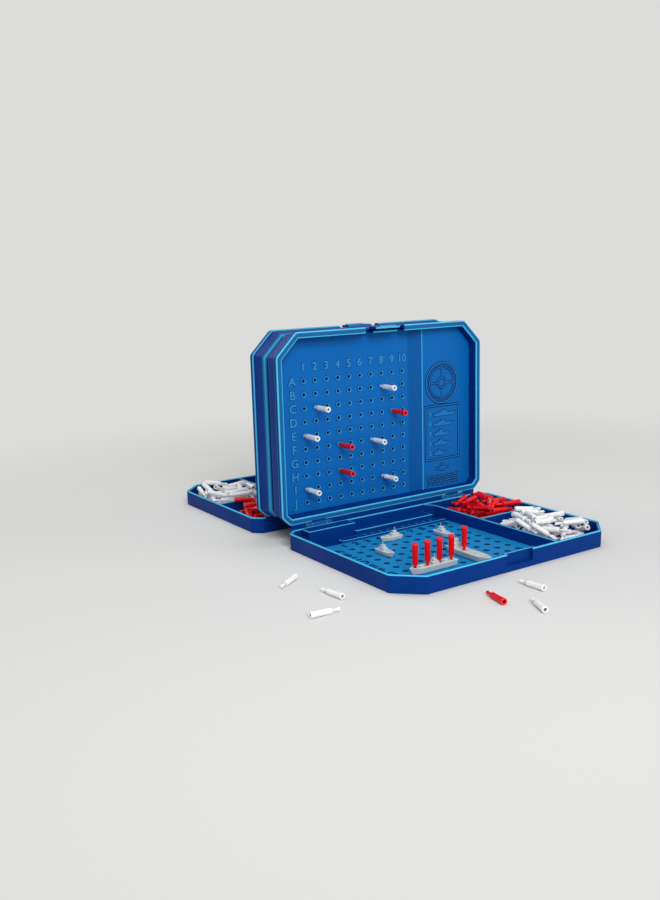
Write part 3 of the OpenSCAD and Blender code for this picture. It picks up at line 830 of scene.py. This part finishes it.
# %% [markdown]
# ## Hinges and latch
#
# A steel pin runs through rounded lugs on the tray and barrels on the lid, at two places. The
# lugs ride on the tray and the barrels on the lid, so they have to be pieces of their own. A
# skirt under the lid's foot, broken at the hinges, hides the gap between lid and tray. Each
# barrel is a rounded rod along x, on a small foot that joins it to its part. They are placed
# in the room's own millimetres (x, y, z), because they lie between tray and lid.

# %% Hinges
HINGE_Y, HINGE_Z, BARREL_R = 94.0, 16.15, 2.7  # the pin's line, and a barrel's radius
HINGES = (-85.0, 85.0)  # their places along x
FOOT_TOP = LID_FOOT + 1.5


def rod(r, x0, x1, y, z):
    """A rounded rod along x: a lathed form on its side."""
    profile = [(r - 0.4, x0), (r, x0 + 0.4), (r, x1 - 0.4), (r - 0.4, x1)]
    # Its rounded ends get a painted highlight, and its length a faint one
    points, faces, tone = lathe(profile, 20, tone=[0.6, 0.1, 0.1, 0.6])
    return np.column_stack([points[:, 2], y + points[:, 0], z + points[:, 1]]), faces, tone


lugs, barrels = [], []
for s in HINGES:
    barrels.append(rod(BARREL_R, s - 8, s + 8, HINGE_Y, HINGE_Z))
    barrels.append(
        box_pad(s - 8, s + 8, HINGE_Y + 0.15, HINGE_Y + BARREL_R, HINGE_Z, FOOT_TOP, 0.3))
    for x in (s - 11.3, s + 11.3):
        lugs.append(rod(BARREL_R, x - 3, x + 3, HINGE_Y, HINGE_Z))
        lugs.append(
            box_pad(x - 3, x + 3, 90.0, HINGE_Y + 0.1, HINGE_Z - BARREL_R, HINGE_Z - 0.1, 0.3))
skirt = [
    box_pad(x0, x1, HINGE_Y + 0.4, HINGE_Y + 1.9, HINGE_Z - 2.6, FOOT_TOP, 0.3)
    for x0, x1 in ((-115.5, -100), (-70, 70), (100, 115.5))
]
both("hinge_lugs", "tray", lugs, on_table, case_blue)
both("hinge_barrels", "lid", barrels, on_table, case_blue)
both("hinge_skirt", "lid", skirt, on_table, case_blue)

# %% [markdown]
# The latch is a springy tongue in the lid's top wall, with a lip to pull it by. It bends on
# its own joint, so it is made apart from the lid, as two short lofts whose edges are rounded
# by one extra ring at each end.

# %% Latch tab
def tongue(v0, v1, rings, v0_moves):
    """A flat tongue between v0 and v1: rings are rows of (depth, half width, inset, tone)."""
    levels = []
    for w, half, a, _ in rings:
        low = v0 + a if v0_moves else v0
        levels.append(level([[-half, low], [half, low], [half, v1 - a], [-half, v1 - a]], w))
    return loft(levels, [row[3] for row in rings])


# The tones paint highlights on the tongues' rounded edges
tab = [
    tongue(179.8, 182, [(7.6, 14.2, 0.3, 0.3), (7.2, 14.5, 0, 0), (-3.9, 14.5, 0, 0),
                        (-4.4, 14.1, 0.4, 0.8)], True),
    tongue(181.8, 182.9, [(-1.2, 10.0, 0.6, 0.8), (-1.7, 10.4, 0.1, 0.1),
                          (-3.8, 10.4, 0.1, 0.1), (-4.4, 10.0, 0.6, 0.8)], False),
]
both("latch_tab_body", "latch_tab", tab, in_lid, case_blue, "latch_tab")

# %% [markdown]
# ## Pegs
#
# A peg is turned in one profile: a bulb that clicks into a hole, a thin stem, a shoulder, a
# body with a slight waist, a groove near its outer end, and a socket in that end. A cylinder
# would lack the stem and the waist, which are what the eye knows a peg by. The profile's
# height is 0 where the model's peg begins to be thick, so the bulb is below zero. The pegs in
# the heaps have the same profile with fewer points and sides, because there are hundreds.

# %% Peg
PEG = [
    # radius, height, tone: the tone paints highlights on the bulb, the shoulder and the end's
    # rim, and shade under the shoulder, in the groove and in the socket
    (0.8, -5.2, 0.3), (1.3, -4.95, 0.3), (1.5, -4.2, 0), (1.35, -3.3, 0), (1.2, -2.8, 0),
    (1.22, 2.1, -0.3), (1.4, 2.3, -0.3), (2.15, 2.4, 0.6), (2.42, 2.9, 0.3), (2.5, 4.6, 0),
    (2.42, 8.5, 0), (2.48, 13.5, 0), (2.62, 16.6, 0), (2.66, 17.2, 0), (2.56, 17.5, -0.2),
    (2.68, 17.8, 0), (2.76, 18.8, 0), (2.78, 20.5, 0.6), (2.55, 21.0, 1), (1.65, 21.0, 0.8),
    (1.4, 20.6, -0.3), (1.3, 18.2, -1),
]
SMALL_PEG = [PEG[i] for i in (0, 2, 5, 8, 10, 16, 18, 19, 21)]  # for the heaps
PEG_MIDDLE = 7.9  # its height


def peg(origin, direction, profile=PEG, sides=16):
    """A peg whose height 0 is at origin and whose outer end points along direction.

    The two cross directions complete a right-handed set with it."""
    d = np.asarray(direction, float)
    d = d / np.linalg.norm(d)
    a = np.cross(d, [0, 0, 1] if abs(d[2]) < 0.9 else [1, 0, 0])
    a /= np.linalg.norm(a)
    b = np.cross(d, a)
    profile = np.array(profile)
    points, faces, tone = lathe(profile[:, :2], sides, tone=profile[:, 2])
    return np.asarray(origin, float) + points @ np.array([a, b, d]), faces, tone


print("a peg has", len(peg((0, 0, 0), (0, 0, 1))[1]), "faces")

# %% Pegs in the grids
MISSES = [(8, 2), (2, 3), (1, 5), (7, 6), (1, 9), (8, 9)]  # column, row
HITS = [(9, 4), (4, 6), (4, 8)]
DECK_PEG_Z = 10.7
DECK = (0, 0, 1)


def lid_pegs(marks):
    """Pegs in the target grid, at (column, row): they point out of the lid, towards -w."""
    return [peg((COLUMNS[c - 1], TARGET_ROWS[r - 1], 14.8), (0, 0, -1)) for c, r in marks]


def deck_pegs(columns, row):
    """Pegs that stand in a ship's sockets."""
    return [peg((COLUMNS[c - 1], OCEAN_ROWS[row - 1], DECK_PEG_Z), DECK) for c in columns]


for name, shells, body, place, material, slot in (
    ("miss_pegs", lid_pegs(MISSES), "lid_miss_pegs", in_lid, peg_white, "peg_white"),
    ("hit_pegs", lid_pegs(HITS), "lid_hit_pegs", in_lid, peg_red, "peg_red"),
    ("deck_pegs", deck_pegs((1, 2, 3, 4), 8), "battleship_pegs", in_tray, peg_red, "peg_red"),
    ("deck_peg", deck_pegs((6,), 7), "cruiser_peg", in_tray, peg_red, "peg_red"),
):
    both(name, body, shells, place, material, body)

# %% Pegs on the table
LOOSE_MISSES = [(-176, 1, -58), (-163, -45, -174), (-191, -77, 87), (-25, -129, -178),
                (-54, -164, 156)]
LOOSE_HIT = [(-68, -132, 167)]
LYING_Z, LYING_RISE = 2.43, 0.4 / 20  # it rests on its shoulder and its wider end


def lying(places):
    """Pegs on the table at (x, y, turn): the middle is there, and the outer end points turn
    degrees from +y."""
    made = []
    for x, y, turn in places:
        t = math.radians(turn)
        ahead = np.array([-math.sin(t), math.cos(t), LYING_RISE])
        made.append(peg(np.array([x, y, LYING_Z]) - ahead * [PEG_MIDDLE, PEG_MIDDLE, 0], ahead))
    return made


for name, places, material, slot in (
    ("loose_miss_pegs", LOOSE_MISSES, peg_white, "peg_white"),
    ("loose_hit_peg", LOOSE_HIT, peg_red, "peg_red"),
):
    loose = piece("scattered_" + name, lying(places), on_table, material)
    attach(loose, "near_" + name)
    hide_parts("near_" + name)
    print(loose.name, "lie on the table:", len(places))

# %% [markdown]
# ## Heaps of pegs
#
# Each player has a bin of white pegs and one of red. A rigid body simulation could pour them,
# but it is slow and may settle otherwise on another machine. So a heap is grown peg by peg
# from a seeded generator. A height map holds the top of what lies in the bin. For each peg
# some places and directions are tried. Along the peg, the map says how high its axis has to
# be, and of the straight lines above those heights the one that is lowest at the peg's
# middle is where the peg comes to rest. The lowest try wins, and the map grows.

# %% Where a peg comes to rest
PEG_R, PEG_HALF = 2.75, 13  # radius and half length
ALONG = np.linspace(-PEG_HALF, PEG_HALF, 27)  # points of a peg's axis
ACROSS = np.linspace(-2.5, 2.5, 6)  # and beside it
BELOW = np.sqrt(PEG_R * PEG_R - ACROSS * ACROSS)  # the axis's height over what it touches
SLOPES = np.linspace(-0.5, 0.5, 21)


def footprint(centre, angle, corner):
    """The cells of the height map under a peg, as two arrays (along, across)."""
    c, s = np.cos(angle), np.sin(angle)
    x = (centre[0] + ALONG * c)[:, None] - ACROSS * s - corner[0]
    v = (centre[1] + ALONG * s)[:, None] + ACROSS * c - corner[1]
    return np.rint(x).astype(int), np.rint(v).astype(int)


def resting(ground, cells):
    """Height and slope of a peg at rest: its axis is at height + slope * s, the lowest such
    line above the map along the peg, where a steep line counts as a little higher."""
    need = (ground[cells] + BELOW).max(1)
    heights = (need[:, None] - ALONG[:, None] * SLOPES).max(0)
    i = int(np.argmin(heights + 0.4 * np.abs(SLOPES)))
    return heights[i], SLOPES[i]


print("a peg's footprint has", len(ALONG) * len(ACROSS), "cells")


# %% Heap
BIN_X, BIN_FLOOR, BIN_TOP = (57, 119), 1.7, 24.4
TRIES = 14  # places tried for each peg


def poured(seed, count, v_range):
    """Pegs that rest on each other: of the places tried for each, the lowest is taken."""
    rng = np.random.default_rng(seed)
    low, high = np.transpose([BIN_X, v_range])
    ground = np.full(tuple((high - low).astype(int) + 2), BIN_FLOOR)
    middle, spread = (low + high) / 2, (high - low) / 2
    made = []
    for _ in range(count):
        best = None
        for _ in range(TRIES):
            a = rng.uniform(0, 2 * np.pi)
            reach = np.abs([np.cos(a), np.sin(a)]) * 13.1 + 2.8
            room = np.maximum(spread - reach, 0)
            c = middle + np.clip(rng.normal(0, 0.55, 2), -1, 1) * room
            cells = footprint(c, a, low)
            if any(i.min() < 0 or i.max() >= size for i, size in zip(cells, ground.shape)):
                continue
            height, slope = resting(ground, cells)
            peak = height + abs(slope) * PEG_HALF + PEG_R
            if peak < BIN_TOP and (best is None or height < best[0]):
                best = (height, slope, a, c, cells)
        if best is None:
            continue
        height, slope, a, c, cells = best
        np.maximum.at(ground, cells, (height + slope * ALONG)[:, None] + BELOW)
        ahead = np.array([np.cos(a), np.sin(a), slope])
        ahead /= np.linalg.norm(ahead)
        made.append(peg(np.array([*c, height]) - ahead * PEG_MIDDLE, ahead, SMALL_PEG, 8))
    return made


for name, heap, material, slot in (
    ("white", poured(11, 62, (85.5, 166)), peg_white, "peg_white"),
    ("red", poured(7, 46, (7, 76)), peg_red, "peg_red"),
):
    print(len(heap), "pegs lie in the", name, "heap")
    node = name + "_peg_heap"
    both(name + "_heap", node, heap, in_tray, material, node, smooth=50)

# %% [markdown]
# ## Ships
#
# The ships are small grey mouldings: a hull with a bulwark, stepped deck houses, guns and a
# mast. A cube could be pushed into a hull by hand in the viewport, but as a row of closed
# sections, as a boatyard draws it, one function makes all three sizes. At the station x, the
# half beam B is full amidships, rounds in at the stern and runs to a point at the bow. Each
# section goes from the flat keel up the flared side to a low bulwark, over it and across the
# deck. The peg sockets are few, so booleans drill them.

# %% Hulls
BOW_POWER, STERN_LENGTH = 2.2, 2.5
RAKE, SHEER, STERN_RAKE = 3.0, 0.7, 1.2  # the bow's lean and rise, and the stern's lean
# A side's shares of the half beam and of the deck's height, and its tones with the bulwark's
SECTION = np.array([[0.5, 0], [0.72, 0.1], [0.84, 0.35], [0.93, 0.7], [1, 1]])
# The tones paint a highlight on the bulwark's rounded rim
SIDE_TONE = [0, 0, 0, 0, 0, 0.8, 1, 0.8, 0]


def hull(length, beam, height, bow):
    """A ship's hull, stern at x = 0, keel on z = 0.

    With t from 0 to 1 along the bow, B = beam / 2 * (1 - t ^ 2.2), and with t from 0 to 1
    along the stern, B = beam / 2 * (0.72 + 0.28 * sqrt(1 - (1 - t) ^ 2)). The deck rises by
    0.7 * t ^ 2 along the bow, and bow and stern lean in towards the keel."""
    start = length - bow
    x = np.concatenate([np.linspace(0, STERN_LENGTH, 6), np.linspace(3.5, start, 6),
                        start + bow * np.linspace(0.08, 1, 12) ** 0.8])
    t = np.clip((x - start) / bow, 0, 1)
    aft = np.clip(x / STERN_LENGTH, 0, 1)
    b = beam / 2 * (1 - t**BOW_POWER) * (0.72 + 0.28 * np.sqrt(1 - (1 - aft) ** 2)) + 0.12
    deck = (height + SHEER * t**2 - 0.45)[:, None]
    t, aft, b = t[:, None], aft[:, None], b[:, None]
    rim = np.maximum(b - 0.55, 0.04)
    y = np.hstack([b * SECTION[:, 0], b, np.maximum(b - 0.1, 0.06), rim, rim])
    z = np.hstack([deck * SECTION[:, 1], deck + 0.35, deck + 0.45, deck + 0.45, deck])
    down = 1 - z / height
    lean = np.where(t > 0, -RAKE * t * down, 0) + (1 - aft) * STERN_RAKE * down
    px = x[:, None] + lean
    ring = [np.hstack([px, px[:, ::-1]]), np.hstack([y, -y[:, ::-1]]), np.hstack([z, z[:, ::-1]])]
    points, faces, _ = loft(np.stack(ring, -1))
    return points, faces, np.tile(SIDE_TONE + SIDE_TONE[::-1], len(x))


print("a hull has", len(hull(40, 9, 6, 13)[1]), "faces")


# %% Deck houses, guns and masts
def block(x0, x1, half, z0, z1, bevel=0.25):
    """A deck house."""
    return box_pad(x0, x1, -half, half, z0, z1, bevel)


def gun(x, z, length, r):
    """A gun barrel that points towards the bow, a little up."""
    p, faces, tone = lathe([(r * 1.3, 0), (r * 1.3, 0.6), (r, 0.8), (r * 0.8, length)], 8)
    return np.column_stack([x + p[:, 2], p[:, 0], z + p[:, 1] + 0.12 * p[:, 2]]), faces, tone


def mast(x, z0, z1, r):
    """A mast that thins to its top."""
    return lathe([(r, z0), (r * 0.8, z0 + (z1 - z0) * 0.6), (r * 0.55, z1)], 8, (x, 0))


def turret(x):
    """A turret on the deck, with its gun."""
    drum = lathe([(2.1, 5.4), (2.1, 6.9), (1.7, 7.4), (0.9, 7.6)], 14, (x, 0))
    return [drum, gun(x + 1.2, 6.9, 3.4, 0.35)]


print("a turret has", sum(len(faces) for _, faces, _ in turret(0)), "faces")


# %% The fleet's forms
STERN_HOLE, CRUISER_HOLE = 4.6, 6.4  # from the stern to the first hole below the hull
mid = STERN_HOLE + 1.5 * PITCH  # the middle of the battleship's four holes
battleship = [hull(3 * PITCH + 10.4, 9.0, 6.0, 13)]
battleship_top = [
    block(mid - 3.2, mid + 3.2, 2.7, 5.4, 8.2), block(mid - 2.2, mid + 1.6, 2.0, 8.0, 10.0),
    block(mid - 0.6, mid + 1.4, 1.3, 9.8, 11.0), mast(mid - 1.2, 9.8, 14.6, 0.45),
    lathe([(1.1, 5.4), (1.1, 6.6), (0.9, 7.2)], 12, (mid - 5.0, 0)),
    *turret(mid + PITCH), *turret(mid - PITCH),
]
cruiser = [hull(3 * PITCH + 15, 11.0, 6.0, 18)]
cruiser_top = [
    block(1.8, 10.6, 3.7, 5.4, 10.2), block(3.2, 9.4, 2.9, 10.0, 12.6),
    block(7.0, 9.2, 2.2, 12.4, 13.6),
    lathe([(1.3, 12.4), (1.3, 14.6), (1.0, 15.2)], 12, (5.4, 0)), mast(5.4, 15.0, 18.2, 0.5),
    *[block(x, x + 0.7, 3.95, 5.6, 9.6, 0.15) for x in (2.6, 4.6, 6.6, 8.6)],
]
boat = [hull(PITCH + 11.4, 8.0, 4.5, 11)]
boat_top = [
    block(5.2, 12.4, 2.3, 4.0, 6.8), block(6.6, 10.6, 1.7, 6.6, 8.7),
    block(9.4, 10.8, 1.3, 8.5, 9.2), mast(8.0, 8.5, 12.2, 0.42),
    lathe([(1.1, 4.0), (1.1, 5.5), (0.8, 6.0)], 10, (16.4, 0)), gun(17.0, 5.5, 2.6, 0.3),
]
print("the battleship has", len(battleship_top), "forms on its deck")


# %% Put the fleet to sea
def sail(shells, column, row, stern, turn):
    """Turns a ship by turn degrees, its stern hole over a column and row of the ocean grid."""
    c, s = math.cos(math.radians(turn)), math.sin(math.radians(turn))
    made = []
    for points, faces, tone in shells:
        x, y, z = points[:, 0] - stern, points[:, 1], points[:, 2] + OCEAN_TOP + 0.1
        over, along = COLUMNS[column - 1], OCEAN_ROWS[row - 1]
        turned = [over + c * x - s * y, along + s * x + c * y, z]
        made.append((np.column_stack(turned), faces, tone))
    return made


def drilled(places, berth):
    """Returns a finish that drills the peg sockets into a hull."""
    drill = [lathe([(HOLE_R, 0.8), (HOLE_R, 9.0)], 16, (x, 0)) for x in places]
    return lambda obj, side: apply_cut(obj, side, in_tray, sail(drill, *berth))


# name, hull, what stands on it, (column, row, stern hole, turn), and its sockets' places
FLEET = [
    ("battleship", battleship, battleship_top, (4, 8, STERN_HOLE, 180),
     [STERN_HOLE + i * PITCH for i in range(4)]),
    ("cruiser", cruiser, cruiser_top, (6, 6, CRUISER_HOLE, 90),
     [CRUISER_HOLE + i * PITCH for i in (1, 2, 3)]),
    ("patrol_boat_1", boat, boat_top, (2, 3, STERN_HOLE, 90), []),
    ("patrol_boat_2", boat, boat_top, (5, 1, STERN_HOLE, 180), []),
    ("patrol_boat_3", boat, boat_top, (8, 2, STERN_HOLE, 90), []),
]
for name, body, top, berth, sockets in FLEET:
    finish = drilled(sockets, berth) if sockets else None
    both(name + "_hull", name, sail(body, *berth), in_tray, ship_grey, name, finish)
    both(name + "_deck_houses", name, sail(top, *berth), in_tray, ship_grey)

# %% [markdown]
# ## Relief on the side panel
#
# The side panel carries a sighting ring, a list of five plain ships with the number of their
# holes, and a small star over a sea, all moulded in low relief. A bump map would vanish when
# the panel is seen edge-on, so each ridge is a thin stroke on a wider, flat dark stroke that
# paints shade along its sides, and each ship is a thin plate cut to a ship's side view, on a
# flat dark outline of painted shade.

# %% Ridges
PANEL = TARGET_FACE - SLOPE_RISE[-1]


def ridge(path, width, height, closed=False):
    """A low ridge with a lighter top, a painted highlight, on a wider, nearly flat dark stroke
    that paints shade along each side of it.
    """
    return [
        stroke(path, width + 1.9, PANEL + 0.1, PANEL - 0.06, closed, -1),
        stroke(path, width, PANEL + 0.1, PANEL - height, closed, 0.2),
    ]


print("the side panel lies", PANEL, "mm behind the rim")

# %% Sighting ring
RING = np.array([81.0, 118.0])  # its centre
relief = ridge(circle(*RING, 21, 48), 1.1, 0.6, True)
relief += ridge(circle(*RING, 5.5, 24), 0.7, 0.5, True)
relief += ridge(circle(*RING, 16.5, 44), 0.6, 0.4, True)
for t in np.radians(np.arange(0, 360, 11.25)):
    tick = np.array([math.cos(t), math.sin(t)])
    relief += ridge([RING + 18.2 * tick, RING + 19.9 * tick], 0.5, 0.45)
for t in np.radians([0, 90, 180, 270]):
    spoke = np.array([math.cos(t), math.sin(t)])
    across = np.array([-spoke[1], spoke[0]])
    relief += ridge([RING + 3 * spoke, RING + 17 * spoke], 0.7, 0.5)
    for d in (8.5, 11.5, 14.5):
        middle = RING + d * spoke
        relief += ridge([middle + 1.5 * across, middle - 1.5 * across], 0.6, 0.4)
print("the sighting ring has", len(relief), "strokes")

# %% List of ships
SHIPS = ((5, 30), (4, 26), (3, 21), (3, 21), (2, 16))  # holes, length
HULL_LINE = [(0, 0, 0.6), (0, 1.5, -2.4), (1, -4, -2.4), (1, 0, 0.8), (0.62, 0, 0.6),
             (0.6, 0, 2.8), (0.5, 0, 2.8), (0.48, 0, 4.2), (0.42, 0, 4.2), (0.4, 0, 2.0),
             (0.26, 0, 2.0), (0.24, 0, 0.6)]  # share of the length, millimetres more, height
FRAME = [[59, 37], [104, 37], [104, 94], [59, 94]]
relief += ridge(FRAME, 0.9, 0.5, True)
for i, (holes, length) in enumerate(SHIPS):
    v = 85.5 - i * 10.4
    profile = [[69 + share * length + more, v + up] for share, more, up in HULL_LINE]
    # Each silhouette stands on a flat dark outline, tone -0.9, which paints shade round it, and
    # is a little lighter itself
    for outline, rise, tone in ((inset(profile, -0.6), 0.06, -0.9), (profile, 0.55, 0.1)):
        points, faces, tones = loft([level(outline, 0), level(outline, rise)], [tone, tone])
        relief.append((points * [1, 1, -1] + [0, 0, PANEL], faces, tones))
    relief += lettered(str(holes), 6.0, 64.5, v, PANEL, 0.5)
print("ships on the list:", len(SHIPS))

# %% Sea and star
x = np.linspace(60, 103, 44)
for i in range(4):
    wave = 10.5 + i * 2.6 + 0.8 * np.sin(x * 0.9 + i * 1.6)
    relief += ridge(np.column_stack([x, wave]), 0.7, 0.45)
STAR, RAYS = np.array([81, 27]), (10, 6, 10, 6, 10, 6, 7, 6)  # a ray every 45 degrees
for i, r in enumerate(RAYS):
    ray = np.array([math.cos(math.radians(45 * i)), math.sin(math.radians(45 * i))])
    relief += ridge([STAR + ray * [1.5, 1], STAR + ray * [r, 0.62 * r]], 0.9, 0.5)
both("side_panel_relief", "lid", relief, in_lid, target_blue)

# %% [markdown]
# A row of short bars and a scale of ticks stand on the tray's floor and on its long strip,
# where a moulded mark would be. They are small pads.

# %% Tray marks
marks = [
    box_pad(-106 + 0.6 * i, -106 + w, 24 + 4.2 * i, 25.8 + 4.2 * i, 1.5, 2.0, 0.15)
    for i, w in enumerate((9, 13, 7))
]
marks += [box_pad(x - 0.5, x + 0.5, 24.4, 28.6, 5.2, 5.7, 0.15) for x in np.linspace(-60, 30, 11)]
both("tray_marks", "tray", marks, in_tray, case_blue)

# %% [markdown]
# ## Room, light and camera
#
# The set stands on pale studio paper. A white sheet lit brightly enough to look white would
# wash out the blues, so the paper is a plain diffuse surface only near the set, where it
# keeps the shadows. From 0.3 m out it fades into a flat pale tone that only camera, glossy
# and transmission rays see, and the air behind it has the same tone, so no horizon shows.

# %% Fade into the air
PALE = "#DCDCDA"


def pale_to_the_eye(tree, surface, pale, fade, output):
    """Mixes a surface with a flat pale emission, which only camera, glossy and transmission
    rays see, by the factor fade."""
    rays = add(tree, "LightPath")
    seen = (rays, "Is Camera Ray")
    for kind in ("Is Glossy Ray", "Is Transmission Ray"):
        seen = (add(tree, "Math", {0: seen, 1: (rays, kind)}, operation="MAXIMUM"), 0)
    if fade:
        seen = (add(tree, "Math", {0: seen, 1: fade}, operation="MULTIPLY"), 0)
    mixed = add(tree, "MixShader", {0: seen, 1: (surface, 0), 2: (pale, 0)})
    tree.links.new(mixed.outputs[0], tree.nodes[output].inputs["Surface"])


print("the eye sees the floor fade to", PALE)

# %% Studio paper
paper, tree, shader = finish_named("studio_paper_pale")
place = (add(tree, "TexCoord"), "Object")
tooth = add(tree, "TexNoise", {"Vector": place, "Scale": 900.0})
relief = add(tree, "Bump", {"Height": (tooth, "Fac"), "Strength": 0.05, "Distance": 0.0003})
tree.links.new(relief.outputs["Normal"], shader.inputs["Normal"])
shader.inputs["Base Color"].default_value = linear(PALE)
shader.inputs["Roughness"].default_value = 0.9
shader.inputs["Specular IOR Level"].default_value = 0.1
centre = add(tree, "VectorMath", {0: place, 1: (0, 0.12, 0)}, operation="SUBTRACT")
reach = add(tree, "VectorMath", {0: (centre, 0)}, operation="LENGTH")
fade = add(tree, "MapRange", {"Value": (reach, "Value"), "From Min": 0.32, "From Max": 0.85},
           interpolation_type="SMOOTHSTEP")
glow = add(tree, "Emission", {"Color": linear(PALE), "Strength": 1.0})
pale_to_the_eye(tree, shader, glow, (fade, "Result"), "Material Output")
print("the paper fades from", fade.inputs["From Min"].default_value, "m")

# %% Floor
FLOOR_R = 12  # metres
mesh = bpy.data.meshes.new("studio_floor")
mesh.from_pydata(level(circle(0, 0, FLOOR_R, 64), 0).tolist(), [], [list(range(64))])
mesh.materials.append(paper)
floor = bpy.data.objects.new("studio_floor", mesh)
bpy.context.scene.collection.objects.link(floor)
print("floor radius", FLOOR_R, "m")

# %% Air
world = bpy.data.worlds.new("studio_air")
world.use_nodes = True
tree = world.node_tree
air = tree.nodes["Background"]
air.inputs["Color"].default_value = (1, 1, 1, 1)
air.inputs["Strength"].default_value = 0.42
behind = add(tree, "Background", {"Color": linear(PALE), "Strength": 1.0})
pale_to_the_eye(tree, air, behind, None, "World Output")
bpy.context.scene.world = world
bpy.context.scene.view_settings.view_transform = "Standard"
print("air strength", round(air.inputs["Strength"].default_value, 2))

# %% [markdown]
# Glossy plastic shows its lamps, so they are large: a small lamp would leave hard white dots.
# A big soft box stands high at the front left, a little to the side so that the pegs throw
# short shadows, and weaker ones lift the top, the right side and the back. Their watts are
# set so that a colour renders about as it is written.

# %% Lamps
def lamp(name, place, aim, size, watts):
    """A soft box: a square area lamp that looks at a point."""
    data = bpy.data.lights.new(name, "AREA")
    data.size, data.energy = size, watts
    obj = bpy.data.objects.new(name, data)
    obj.location = place
    obj.rotation_euler = (Vector(aim) - Vector(place)).to_track_quat("-Z", "Y").to_euler()
    bpy.context.scene.collection.objects.link(obj)


MIDDLE = (0, 0.1, 0.1)
lamp("key_softbox", (-0.6, -1.6, 1.1), (0, 0.1, 0.06), 0.9, 25)
lamp("top_softbox", (0.1, 0.1, 1.9), MIDDLE, 1.0, 8)
lamp("fill_softbox", (1.6, -1.0, 0.9), MIDDLE, 1.0, 3)
lamp("back_softbox", (-0.6, 1.9, 1.2), MIDDLE, 1.0, 7)
print("lamps give", sum(one.energy for one in bpy.data.lights), "W together")

# %% [markdown]
# The camera stands low at the front left, a little above the lids, and leans slightly. Its
# place and angles are written as numbers, and its lens comes from a focal length in pixels,
# so that the view doesn't hang on the size of the render.


# %% Camera
PICTURE_W, SENSOR_W = 660, 36.0  # pixels, millimetres


def camera(place, azimuth, down, roll, focal):
    """A camera at place: it looks azimuth degrees from +Y towards +X and down degrees below
    level, rolled by roll, with a focal length in pixels."""
    az, el, ro = (math.radians(t) for t in (azimuth, down, roll))
    ahead = Vector((math.sin(az) * math.cos(el), math.cos(az) * math.cos(el), -math.sin(el)))
    level_right = Vector((math.cos(az), -math.sin(az), 0))
    right = level_right * math.cos(ro) + level_right.cross(ahead) * math.sin(ro)
    up = right.cross(ahead)
    data = bpy.data.cameras.new("camera")
    data.sensor_fit, data.sensor_width = "HORIZONTAL", SENSOR_W
    data.lens = SENSOR_W * focal / PICTURE_W
    data.clip_start, data.clip_end = 0.01, 20
    obj = bpy.data.objects.new("camera", data)
    axes = Matrix((right, up, -ahead)).transposed().to_4x4()
    obj.matrix_world = Matrix.Translation(place) @ axes
    bpy.context.scene.collection.objects.link(obj)
    bpy.context.scene.camera = obj


camera((-0.5506, -0.6358, 0.2557), 33.4, 10.95, -1.7, 926)
print("lens", round(bpy.context.scene.camera.data.lens, 1), "mm")
